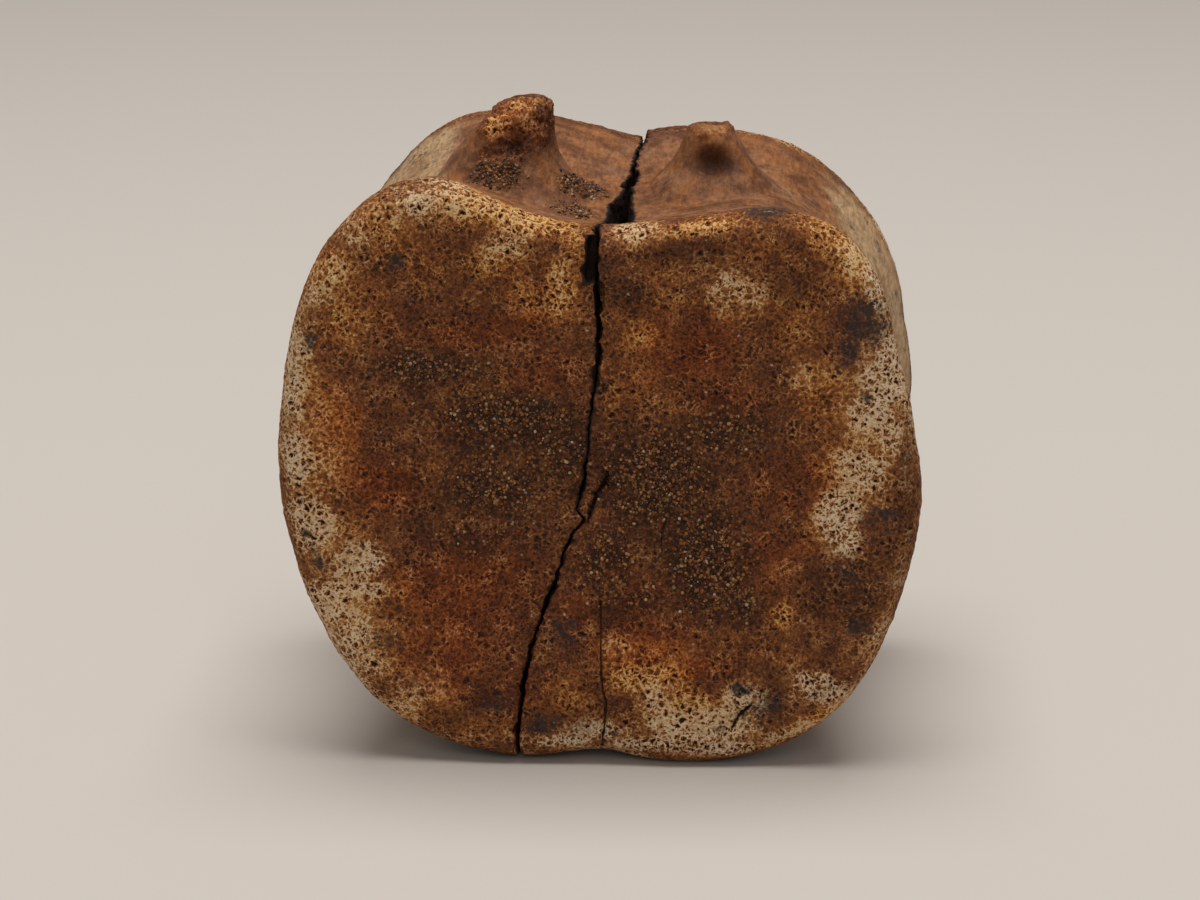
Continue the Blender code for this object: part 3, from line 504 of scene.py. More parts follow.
class Sketch:
    """Adds nodes to a shader or geometry tree. A value is a socket, a number or a tuple."""

    def __init__(self, tree: bpy.types.NodeTree) -> None:
        """Keep the tree that the nodes go in."""
        self.tree = tree
        self.is_geometry = tree.bl_idname == "GeometryNodeTree"

    def join(self, value: object, socket: Socket) -> None:
        """Link a socket to an input, or set the input to a plain value.

        Args:
            value: a socket or a plain value. A colour of three numbers is made opaque.
            socket: the input.
        """
        if isinstance(value, Socket):
            self.tree.links.new(value, socket)
        elif socket.type == "RGBA":
            socket.default_value = (*value[:3], 1.0)
        else:
            socket.default_value = value

    def add(self, kind: str, inputs: dict, **settings: object) -> bpy.types.Node:
        """Add a node.

        Args:
            kind: the node's type.
            inputs: values by input name or number.
            settings: the node's properties by name.

        Returns:
            The new node.
        """
        node = self.tree.nodes.new(kind)
        for name, value in settings.items():
            setattr(node, name, value)
        for name, value in inputs.items():
            self.join(value, node.inputs[name])
        return node

    def math(self, operation: str, *values: object) -> Socket:
        """Return the result of a Math node."""
        return self.add("ShaderNodeMath", dict(enumerate(values)), operation=operation).outputs[0]

    def times(self, first: object, second: object) -> Socket:
        """Return the product of two numbers."""
        return self.math("MULTIPLY", first, second)

    def plus_share(self, base: object, value: object, gain: object) -> Socket:
        """Return base + value * gain."""
        return self.math("MULTIPLY_ADD", value, gain, base)

    def rest(self, value: object, gain: float) -> Socket:
        """Return 1 - value * gain."""
        return self.math("SUBTRACT", 1.0, self.times(value, gain))

    def vector(self, operation: str, first: object, second: object) -> Socket:
        """Return the result of a Vector Math node."""
        inputs = {0: first, "Scale" if operation == "SCALE" else 1: second}
        return self.add("ShaderNodeVectorMath", inputs, operation=operation).outputs[0]

    def span(self, value: object, low: object, high: object, start: float = 0.0, end: float = 1.0
             ) -> Socket:
        """Carry a value from one range to another and hold it at the ends.

        Args:
            value: the number.
            low: where the first range starts.
            high: where it ends.
            start: what low becomes.
            end: what high becomes.

        Returns:
            The number in the new range.
        """
        inputs = {"Value": value, "From Min": low, "From Max": high, "To Min": start, "To Max": end}
        return self.add("ShaderNodeMapRange", inputs, clamp=True).outputs["Result"]

    def noise(self, place: object, kind: Noise) -> Socket:
        """Make noise.

        Args:
            place: where the surface is, in mm.
            kind: the kind of noise.

        Returns:
            A number from 0 to 1.
        """
        size, detail, roughness, shift = kind.value
        moved = self.vector("ADD", place, (shift, shift * 0.7, -shift))
        inputs = {"Vector": moved, "Scale": 1.0 / size, "Detail": detail, "Roughness": roughness}
        return self.add("ShaderNodeTexNoise", inputs).outputs[0]

    def swing(self, place: object, kind: Noise) -> Socket:
        """Return noise from -0.5 to 0.5."""
        return self.math("SUBTRACT", self.noise(place, kind), 0.5)

    def warped(self, place: object, size: float, reach: float) -> Socket:
        """Push a place about by noise.

        Args:
            place: where the surface is.
            size: about how wide the swirls are.
            reach: twice the farthest push.

        Returns:
            The moved place.
        """
        inputs = {"Vector": place, "Scale": 1.0 / size, "Detail": 2.0}
        swirl = self.add("ShaderNodeTexNoise", inputs).outputs["Color"]
        centred = self.vector("SUBTRACT", swirl, (0.5, 0.5, 0.5))
        return self.vector("ADD", place, self.vector("SCALE", centred, reach))

    def cells(self, place: object, size: float) -> tuple[Socket, Socket]:
        """Divide the surface into cells.

        Args:
            place: where the surface is.
            size: about how wide a cell is.

        Returns:
            The distance to the nearest cell's middle, in cell sizes, and a random number a cell.
        """
        node = self.add("ShaderNodeTexVoronoi", {"Vector": place, "Scale": 1.0 / size})
        parts = self.add("ShaderNodeSeparateXYZ", {0: node.outputs["Color"]})
        return node.outputs["Distance"], parts.outputs[0]

    def borders(self, place: object, size: float) -> Socket:
        """Return the distance to the nearest border between cells, in cell sizes."""
        inputs = {"Vector": place, "Scale": 1.0 / size}
        return self.add("ShaderNodeTexVoronoi", inputs, feature="DISTANCE_TO_EDGE").outputs["Distance"]

    def blend(self, amount: object, first: object, second: object, way: str = "MIX") -> Socket:
        """Mix two colours.

        Args:
            amount: share of the second colour, from 0 to 1.
            first: a colour.
            second: another.
            way: how the second is laid over the first.

        Returns:
            The mixed colour.
        """
        inputs = {0: amount, 6: first, 7: second}
        return self.add("ShaderNodeMix", inputs, data_type="RGBA", blend_type=way).outputs[2]

    def tone(self, amount: object, colour: object, factor: object) -> Socket:
        """Return a colour multiplied by another, by an amount."""
        return self.blend(amount, colour, factor, "MULTIPLY")

    def ramp(self, value: object, stops: tuple) -> Socket:
        """Choose a colour by a number.

        Args:
            value: the number.
            stops: (place, colour) pairs from 0 to 1.

        Returns:
            The colour.
        """
        node = self.add("ShaderNodeValToRGB", {"Fac": value})
        elements = node.color_ramp.elements
        while len(elements) < len(stops):
            elements.new(0.5)
        for element, (position, colour) in zip(elements, stops):
            element.position = position
            element.color = (*colour, 1.0)
        return node.outputs["Color"]

    def stored(self, name: str) -> Socket:
        """Return a number stored at the mesh's points."""
        return self.attribute(name, "FLOAT", "Fac")

    def found_place(self) -> Socket:
        """Return the place, in mm, that a point had before pores and grain moved it."""
        return self.attribute("place", "FLOAT_VECTOR", "Vector")

    def attribute(self, name: str, kind: str, output: str) -> Socket:
        """Read an attribute of the mesh.

        Args:
            name: the attribute's name.
            kind: its type, for a geometry tree.
            output: the output that gives it, for a shader tree.

        Returns:
            The value at each point.
        """
        if self.is_geometry:
            node = self.add("GeometryNodeInputNamedAttribute", {"Name": name}, data_type=kind)
            return node.outputs["Attribute"]
        return self.add("ShaderNodeAttribute", {}, attribute_name=name).outputs[output]

    def group(self, tree: bpy.types.NodeTree, inputs: dict) -> bpy.types.Node:
        """Place a node group.

        Args:
            tree: the group.
            inputs: values by input name.

        Returns:
            The new node.
        """
        node = self.add(self.tree.bl_idname.replace("NodeTree", "NodeGroup"), {})
        node.node_tree = tree
        for name, value in inputs.items():
            self.join(value, node.inputs[name])
        return node


def new_group(name: str, kind: str, inputs: dict[str, str], outputs: dict[str, str]
              ) -> tuple[Sketch, bpy.types.Node, bpy.types.Node]:
    """Start a node group.

    Args:
        name: the group's name.
        kind: ShaderNodeTree or GeometryNodeTree.
        inputs: socket types by name.
        outputs: socket types by name.

    Returns:
        A sketch of the group, its input node and its output node.
    """
    tree = bpy.data.node_groups.new(name, kind)
    for sockets, way in ((inputs, "INPUT"), (outputs, "OUTPUT")):
        for label, socket in sockets.items():
            tree.interface.new_socket(label, in_out=way, socket_type=socket)
    return Sketch(tree), tree.nodes.new("NodeGroupInput"), tree.nodes.new("NodeGroupOutput")


class Patterns:
    """The patterns of the bone, as groups for one kind of node tree, so relief and colour agree."""

    NUMBER = "NodeSocketFloat"
    PLACE = "NodeSocketVector"

    def __init__(self, kind: str) -> None:
        """Build the groups.

        Args:
            kind: ShaderNodeTree or GeometryNodeTree.
        """
        self.kind = kind
        self.ragged = self.build_ragged()
        self.pores = self.build_pores()
        self.sand = self.build_sand()

    def build_ragged(self) -> bpy.types.NodeTree:
        """Build the group that gives a soft patch a ragged, speckled edge.

        Returns:
            The group.
        """
        inputs = {"Patch": self.NUMBER, "Place": self.PLACE, "Speckle": self.NUMBER}
        sketch, start, end = new_group("ragged_edge_" + self.kind, self.kind, inputs, {"Patch": self.NUMBER})
        place = start.outputs["Place"]
        moved = sketch.plus_share(start.outputs["Patch"], sketch.swing(place, Noise.RAGGED), 1.25)
        fine = sketch.swing(place, Noise.SPECKLE)
        speckled = sketch.plus_share(moved, fine, start.outputs["Speckle"])
        sketch.join(sketch.span(speckled, 0.14, 0.90), end.inputs["Patch"])
        return sketch.tree

    def build_pores(self) -> bpy.types.NodeTree:
        """Build the group for the open cells of bared spongy bone, large ones with small ones between.

        Returns:
            The group.
        """
        inputs = {"Place": self.PLACE, "Openness": self.NUMBER}
        outputs = {"Pore": self.NUMBER, "Strut": self.NUMBER}
        sketch, start, end = new_group("spongy_pores_" + self.kind, self.kind, inputs, outputs)
        place = sketch.warped(start.outputs["Place"], 1.1, 1.3)
        pores, struts = [], []
        for size, least, most, weight in zip(PORE_SIZES, (0.10, 0.14), (0.45, 0.46), (1.0, 0.8)):
            distance, chance = sketch.cells(place, size)
            radius = sketch.times(sketch.span(chance, 0.15, 1.0, least, most), start.outputs["Openness"])
            edge = sketch.times(sketch.math("SUBTRACT", radius, distance), 9.0)
            pores.append(sketch.times(sketch.span(edge, 0.0, 1.0), weight))
            struts.append(sketch.span(sketch.borders(place, size), 0.30, 0.03))
        sketch.join(sketch.math("MAXIMUM", *pores), end.inputs["Pore"])
        wide, narrow = struts
        sketch.join(sketch.plus_share(sketch.times(narrow, 0.45), wide, 0.55), end.inputs["Strut"])
        return sketch.tree

    def build_sand(self) -> bpy.types.NodeTree:
        """Build the group for packed sand: a rounded height over every grain and its random number.

        Returns:
            The group.
        """
        outputs = {"Height": self.NUMBER, "Grain": self.NUMBER}
        sketch, start, end = new_group("packed_sand_" + self.kind, self.kind, {"Place": self.PLACE}, outputs)
        distance, chance = sketch.cells(sketch.warped(start.outputs["Place"], 1.6, 0.5), 0.55)
        sketch.join(sketch.span(distance, 0.75, 0.15), end.inputs["Height"])
        sketch.join(chance, end.inputs["Grain"])
        return sketch.tree


# How strongly fine noise frays the edge of each kind of patch
SPECKLE = {
    Stain.PALE: 0.8, Stain.OCHRE: 0.9, Stain.RUST: 0.5, Stain.BLACK: 1.1,
    Stain.UMBER_AND_SHADE: 0.8, Stain.SAND: 0.9, Stain.SMOOTH: 0.3, Stain.BROKEN: 0.4,
}


def masks_of(sketch: Sketch, patterns: Patterns, place: object) -> dict[str, Socket]:
    """Fray the patches and find how open the pores are.

    Args:
        sketch: the tree that the nodes go in.
        patterns: the groups of that kind of tree.
        place: where the surface is, in mm.

    Returns:
        The frayed patches by name, and the openness as "open".
    """
    masks = {}
    for stain, speckle in SPECKLE.items():
        inputs = {"Patch": sketch.stored(stain.value), "Place": place, "Speckle": speckle}
        masks[stain.value] = sketch.group(patterns.ragged, inputs).outputs["Patch"]
    opened = sketch.math("MAXIMUM", masks["pale"], sketch.times(masks["ochre"], 0.85))
    opened = sketch.math("MAXIMUM", opened, sketch.times(sketch.stored("rim"), 0.75))
    patchy = sketch.span(sketch.noise(place, Noise.OPENNESS), 0.42, 0.66, 0.36, 0.66)
    opened = sketch.math("MAXIMUM", opened, patchy)
    masks["open"] = sketch.times(opened, sketch.rest(masks["smooth"], 0.9))
    return masks


@dataclass(frozen=True)
class Relief:
    """Depths and heights of the small relief, in mm. Lumps, grit, crags and jags are from low to high."""

    pore_depth: float = 0.50
    lump: float = 0.80
    grit: float = 0.384
    sand_grain: float = 0.20
    sand_bed: float = 0.30
    crag: float = 3.0
    edge_flake: float = 0.60
    jag: float = 2.5
    most_closing: float = 0.26

    def modifier_tree(self) -> bpy.types.NodeTree:
        """Build the geometry tree that gives the bone its relief.

        Returns:
            The tree. It moves every point along its normal, and the walls of the break to the side.
        """
        sockets = {"Geometry": "NodeSocketGeometry"}
        sketch, start, end = new_group("bone_relief", "GeometryNodeTree", sockets, sockets)
        place = sketch.found_place()
        height = sketch.times(self.height(sketch, place), sketch.times(sketch.stored("free"), MM))
        push = sketch.vector("SCALE", sketch.add("GeometryNodeInputNormal", {}).outputs[0], height)
        jag = sketch.swing(sketch.vector("MULTIPLY", place, (0.0, 1.0, 1.0)), Noise.JAG)
        jag = sketch.times(sketch.times(jag, sketch.stored("seam")), self.jag * MM)
        aside = sketch.add("ShaderNodeCombineXYZ", {"X": jag}).outputs[0]
        inputs = {"Geometry": start.outputs["Geometry"], "Offset": sketch.vector("ADD", push, aside)}
        moved = sketch.add("GeometryNodeSetPosition", inputs)
        sketch.join(moved.outputs["Geometry"], end.inputs["Geometry"])
        return sketch.tree

    def height(self, sketch: Sketch, place: object) -> Socket:
        """Add up the relief.

        Args:
            sketch: the geometry tree.
            place: where the surface is, in mm.

        Returns:
            The height over the smooth bone, in mm.
        """
        patterns = Patterns("GeometryNodeTree")
        masks = masks_of(sketch, patterns, place)
        pores = sketch.group(patterns.pores, {"Place": place, "Openness": masks["open"]})
        depth = sketch.times(sketch.span(masks["open"], 0.25, 1.0, 0.35, 1.0), -self.pore_depth)
        sand = sketch.group(patterns.sand, {"Place": place})
        packed = sketch.plus_share(self.sand_bed, sand.outputs["Height"], self.sand_grain)
        grit = sketch.times(sketch.swing(place, Noise.GRIT), sketch.rest(masks["smooth"], 0.8))
        crags = sketch.times(sketch.swing(place, Noise.CRAG), self.crag)
        flakes = sketch.span(sketch.noise(place, Noise.FLAKE), 0.47, 0.62)
        wall = sketch.span(sketch.noise(place, Noise.WALL), 0.35, 0.65, 0.0, self.most_closing)
        height = sketch.times(pores.outputs["Pore"], depth)
        for value, gain in (
            (sketch.swing(place, Noise.LUMP), self.lump),
            (grit, self.grit),
            (packed, masks["sand"]),
            (crags, masks["broken"]),
            (sketch.times(flakes, sketch.stored("edge")), -self.edge_flake),
            (wall, sketch.stored("recess_shade")),
        ):
            height = sketch.plus_share(height, value, gain)
        return height


@dataclass
class BoneHalf:
    """One half of the broken centrum, with its pedicel.

    Args:
        name: the piece's name.
        centrum: CAD node of the half.
        pedicel: CAD node of its pedicel.
        chips: flakes lost from it.
        relief: tree that gives the small relief.
        cell: size of the cells that its skin is made with, in mm.
        most_triangles: how many triangles it may have in the end.
    """

    name: str
    centrum: str
    pedicel: str
    chips: tuple[Chip, ...]
    relief: bpy.types.NodeTree
    cell: float = 0.30
    quick_coarseness: float = 2.2
    most_triangles: int = 190_000

    def build(self) -> bpy.types.Object:
        """Build the whole piece.

        Returns:
            The finished piece.
        """
        centrum = self.copy_node(self.centrum, self.name)
        for chip in self.chips:
            self.knock_off(centrum, chip)
        self.round_facets(centrum)
        pedicel = self.copy_node(self.pedicel, self.name + "_pedicel")
        self.sink_foot(pedicel)
        self.round_facets(pedicel)
        self.fuse(centrum, pedicel)
        self.ease_foot(centrum)
        self.shape_pedicel(centrum)
        self.open_cracks(centrum)
        self.store_stains_and_shade(centrum)
        use_modifier(centrum, "NODES", node_group=self.relief)
        self.thin(centrum)
        pick(centrum)
        bpy.ops.object.shade_smooth()
        return centrum

    def copy_node(self, node: str, name: str) -> bpy.types.Object:
        """Copy a CAD node into a merged mesh of its own.

        Args:
            node: the CAD node's name.
            name: the copy's name.

        Returns:
            The copy.
        """
        mesh = frame["nodes"][node].data.copy()
        mesh.materials.clear()
        piece = bpy.data.objects.new(name, mesh)
        bpy.context.scene.collection.objects.link(piece)
        pick(piece)
        bpy.ops.object.mode_set(mode="EDIT")
        bpy.ops.mesh.select_all(action="SELECT")
        bpy.ops.mesh.remove_doubles(threshold=1e-6)
        bpy.ops.mesh.customdata_custom_splitnormals_clear()
        bpy.ops.object.mode_set(mode="OBJECT")
        return piece

    def knock_off(self, bone: bpy.types.Object, chip: Chip) -> None:
        """Cut a flake out of the bone with a bevelled block.

        Args:
            bone: the half.
            chip: the flake.
        """
        deselect_all()
        bpy.ops.mesh.primitive_cube_add(size=1.0)
        flake = bpy.context.active_object
        place = Matrix.Translation(Vector(chip.centre) * MM)
        turn = Matrix.Rotation(math.radians(chip.turn), 4, "Y")
        flake.data.transform(place @ turn @ Matrix.Diagonal((*(Vector(chip.size) * MM), 1.0)))
        use_modifier(flake, "BEVEL", width=min(chip.size) * 0.22 * MM, segments=2)
        use_modifier(bone, "BOOLEAN", object=flake, operation="DIFFERENCE", solver="EXACT")
        bpy.data.objects.remove(flake, do_unlink=True)

    def round_facets(self, piece: bpy.types.Object) -> None:
        """Turn the CAD facets into a smooth surface that keeps its sharp edges.

        Args:
            piece: the copied part.
        """
        pick(piece)
        bpy.ops.object.mode_set(mode="EDIT")
        bpy.ops.mesh.select_all(action="SELECT")
        bpy.ops.mesh.tris_convert_to_quads(face_threshold=math.radians(35), shape_threshold=math.radians(60))
        bpy.ops.mesh.select_all(action="DESELECT")
        bpy.ops.mesh.select_mode(type="EDGE")
        bpy.ops.mesh.edges_select_sharp(sharpness=math.radians(38))
        bpy.ops.transform.edge_crease(value=1.0)
        bpy.ops.object.mode_set(mode="OBJECT")
        use_modifier(piece, "SUBSURF", levels=2, render_levels=2)

    def sink_foot(self, pedicel: bpy.types.Object) -> None:
        """Draw the pedicel's flat foot down into the centrum, so that no seam is left.

        Args:
            pedicel: the copied pedicel.
        """
        pick(pedicel)
        bpy.ops.object.mode_set(mode="EDIT")
        bpy.ops.mesh.select_mode(type="FACE")
        bpy.ops.mesh.select_all(action="DESELECT")
        bpy.ops.object.mode_set(mode="OBJECT")
        for face in pedicel.data.polygons:
            face.select = face.normal.z < -0.9
        bpy.ops.object.mode_set(mode="EDIT")
        bpy.ops.mesh.extrude_region_move(TRANSFORM_OT_translate={"value": (0.0, 0.0, -1.6 * MM)})
        bpy.ops.transform.resize(value=(0.97, 0.97, 1.0))
        bpy.ops.object.mode_set(mode="OBJECT")

    def fuse(self, centrum: bpy.types.Object, pedicel: bpy.types.Object) -> None:
        """Make one even skin round the half and its pedicel.

        Args:
            centrum: the half, which becomes the whole piece.
            pedicel: its pedicel, which is used up.
        """
        pick(centrum)
        pedicel.select_set(True)
        bpy.ops.object.join()
        size = 1.0 * self.cell * MM
        use_modifier(centrum, "REMESH", mode="VOXEL", voxel_size=size, use_smooth_shade=True)

    def ease_foot(self, bone: bpy.types.Object) -> None:
        """Smooth the bone where the pedicel grows out of it, and take the last facets off.

        Args:
            bone: the half.
        """
        points = points_of(bone)
        low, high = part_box(self.pedicel)
        level = low.z / MM + 0.6
        near = Fade.FOOT.of(np.abs(points[:, 2] - level))
        for axis in (0, 1):
            middle = (low[axis] + high[axis]) / 2 / MM
            reach = (high[axis] - low[axis]) / 2 / MM
            near = near * smooth_fall(np.abs(points[:, axis] - middle), reach + 1.0, reach + 4.0)
        self.smooth_by(bone, "foot", near, 0.5, 14)
        self.smooth_by(bone, "all", np.full(len(points), 1.0), 0.5, 3)

    @staticmethod
    def smooth_by(bone: bpy.types.Object, name: str, weights: np.ndarray, factor: float, times: int) -> None:
        """Smooth the points by a weight each.

        Args:
            bone: the object.
            name: name for the weights.
            weights: from 0 to 1, one a point.
            factor: strength of one pass.
            times: number of passes.
        """
        group = bone.vertex_groups.new(name=name)
        levels = np.round(weights * 8).astype(int)
        for level in range(1, 9):
            chosen = np.flatnonzero(levels == level)
            if len(chosen):
                group.add(chosen.tolist(), level / 8, "REPLACE")
        use_modifier(bone, "SMOOTH", factor=factor, iterations=times, vertex_group=name)
        bone.vertex_groups.remove(bone.vertex_groups[name])

    def shape_pedicel(self, bone: bpy.types.Object) -> None:
        """Sink the hollows of the broken pedicel into it.

        Args:
            bone: the half.
        """
        points = points_of(bone)
        normals = normals_of(bone)
        for centre, reach, depth, _ in PEDICEL_HOLLOWS[self.pedicel]:
            fall = Fade.HOLLOW.of(away_from(points, centre, reach))
            points = points - normals * (depth * fall)[:, None]
        move_points(bone, points)

    def open_cracks(self, bone: bpy.types.Object) -> None:
        """Press the fine cracks into the front face, and store how near each point is to one.

        Args:
            bone: the half.
        """
        points = points_of(bone)
        front = (points[:, 1] < -31.0) & (normals_of(bone)[:, 1] < -0.3)
        crack_shade = np.zeros(len(points))
        for half_width, depth, line in FRONT_CRACKS:
            away = np.full(len(points), np.inf)
            for first, second in zip(line, line[1:]):
                start = np.array(first)
                run = np.array(second) - start
                gap = points[:, (0, 2)] - start
                share = np.clip(gap @ run / (run @ run), 0.0, 1.0)
                away = np.minimum(away, np.linalg.norm(gap - share[:, None] * run, axis=1))
            fall = smooth_fall(away, half_width * 0.4, half_width * 1.6) * front
            points[:, 1] += depth * fall
            crack_shade = np.maximum(crack_shade, fall)
        move_points(bone, points)
        # Kept for the painted shade in the cracks
        keep_values(bone, "crack_shade", crack_shade)

    def store_stains_and_shade(self, bone: bpy.types.Object) -> None:
        """Store the stains, and where the rims, the flanks and the walls of the break are.

        Args:
            bone: the half.
        """
        points = points_of(bone)
        x, _, z = points.T
        patches = self.patches_at(points)
        # Painted shade: full on the walls of the break, and by their shade in the chip beds and the pedicel
        # hollows
        recess_shade = self.wall_share(points, normals_of(bone))
        for chip in self.chips:
            recess_shade = np.maximum(recess_shade, chip.share(points))
        for centre, reach, _, shade in PEDICEL_HOLLOWS[self.pedicel]:
            recess_shade = np.maximum(recess_shade, shade * Fade.HOLLOW_SHADE.of(away_from(points, centre, reach)))
        for stain in (Stain.PALE, Stain.OCHRE, Stain.SMOOTH, Stain.BLACK, Stain.SAND):
            patches[stain] = patches[stain] * (1.0 - recess_shade)
        edge, seam = self.edge_shares(points, recess_shade)
        values = {stain.value: patch for stain, patch in patches.items()}
        values |= {
            "rim": self.rim_share(points) * (1.0 - recess_shade),
            "recess_shade": recess_shade,
            "edge": edge,
            "seam": seam,
            "flank": Fade.FLANK.of(-np.where(x < 0.0, 9.0 - x, x)),
            "free": 1.0 - Fade.FLOOR.of(z),
            "place": points,
        }
        for name, numbers in values.items():
            keep_values(bone, name, numbers)

    def patches_at(self, points: np.ndarray) -> dict[Stain, np.ndarray]:
        """Work out the strength of every kind of patch.

        Args:
            points: places in mm, one row each.

        Returns:
            A number from 0 to 1 for each point, by kind.
        """
        x, y, z = points.T
        patches = {stain: np.zeros(len(points)) for stain in Stain}
        on_front = Fade.FRONT.of(y)
        for stain, rows in FRONT_PATCHES.items():
            for px, pz, half_x, half_z, turn, strength in rows:
                c, s = math.cos(math.radians(turn)), math.sin(math.radians(turn))
                u = ((x - px) * c + (z - pz) * s) / half_x
                v = ((z - pz) * c - (x - px) * s) / half_z
                fall = strength * Fade.FRONT_PATCH.of(np.hypot(u, v)) * on_front
                patches[stain] = np.maximum(patches[stain], fall)
        for stain, rows in BODY_PATCHES.items():
            for centre, reach, strength in rows:
                fall = strength * Fade.BODY_PATCH.of(away_from(points, centre, reach))
                patches[stain] = np.maximum(patches[stain], fall)
        skin = Fade.SMOOTH_SKIN.of(np.abs(y)) * 0.95
        patches[Stain.SMOOTH] = np.maximum(patches[Stain.SMOOTH], skin)
        for centre, reach, bared in BROKEN_TOPS[self.pedicel]:
            fall = Fade.BROKEN_TOP.of(away_from(points, centre, reach))
            patches[Stain.BROKEN] = np.maximum(patches[Stain.BROKEN], fall)
            patches[Stain.SMOOTH] = patches[Stain.SMOOTH] * (1.0 - bared * fall)
        return patches

    @staticmethod
    def rim_share(points: np.ndarray) -> np.ndarray:
        """Find the worn rims, which are worn more in some places than in others.

        Args:
            points: places in mm, one row each.

        Returns:
            A number from 0 to 1 for each point.
        """
        x, y, z = points.T
        rim = Fade.RIM_LINE.of(np.abs(np.abs(y) - RIM_Y)) * Fade.RIM_REACH.of(-np.hypot(x, z - RIM_Z))
        rim = rim * np.clip(0.66 + 0.50 * np.sin(x / 7.3 + 1.0) * np.cos(z / 9.1 + 0.4 * y), 0.15, 1.0)
        return rim * (1.0 - 0.55 * Fade.RIM_TOP.of(-z))

    @staticmethod
    def wall_share(points: np.ndarray, normals: np.ndarray) -> np.ndarray:
        """Tell the walls of the break from the outer skin.

        Args:
            points: places in mm, one row each.
            normals: the normals there.

        Returns:
            1 on the walls and 0 on the skin.
        """
        x, y, z = points.T
        buried = Fade.BREAK_DEPTH.of(np.abs(y)) * Fade.BREAK_DISH.of(np.hypot(x, z - DISH_Z))
        buried = buried * Fade.BREAK_TOP.of(z) * Fade.BREAK_BAND.of(np.abs(x - BREAK_X))
        roof = Fade.CANAL_BAND.of(np.abs(x - CANAL_X)) * Fade.CANAL_HEIGHT.of(-z)
        roof = roof * Fade.CANAL_DEPTH.of(np.abs(y))
        across = np.clip(np.abs(normals[:, 0]) * 2.2 - 0.9, 0.0, 1.0)
        return np.maximum(buried, roof) * across

    @staticmethod
    def edge_shares(points: np.ndarray, recess_shade: np.ndarray) -> tuple[np.ndarray, np.ndarray]:
        """Find how near the skin is to the edges of the break.

        Args:
            points: places in mm, one row each.
            recess_shade: 1 on the walls of the break and 0 on the skin.

        Returns:
            A narrow share and a wider one, from 0 to 1 for each point.
        """
        walls = np.flatnonzero(recess_shade > 0.5)[::2]
        tree = KDTree(len(walls))
        for place in walls:
            tree.insert(points[place], int(place))
        tree.balance()
        edge = np.zeros(len(points))
        seam = (recess_shade >= 0.5).astype(float)
        near = np.flatnonzero((recess_shade < 0.5) & (np.abs(points[:, 0] - BREAK_X) < 18.0))
        away = np.array([tree.find(points[place])[2] for place in near])
        edge[near] = Fade.EDGE.of(away)
        seam[near] = Fade.SEAM.of(away)
        return edge, seam

    def thin(self, bone: bpy.types.Object) -> None:
        """Bring the mesh down to its share of triangles.

        Args:
            bone: the half.
        """
        triangles = 2 * len(bone.data.polygons)
        if triangles > self.most_triangles:
            use_modifier(bone, "DECIMATE", ratio=self.most_triangles / triangles)
        log.info("%s: %d triangles before, %d after", self.name, triangles, len(bone.data.polygons))


def new_material(name: str) -> tuple[bpy.types.Material, Sketch, dict[str, Socket]]:
    """Start a material.

    Args:
        name: the material's name.

    Returns:
        The material, a sketch of its tree, and the inputs of its shader.
    """
    material = bpy.data.materials.new(name)
    material.use_nodes = True
    return material, Sketch(material.node_tree), material.node_tree.nodes["Principled BSDF"].inputs


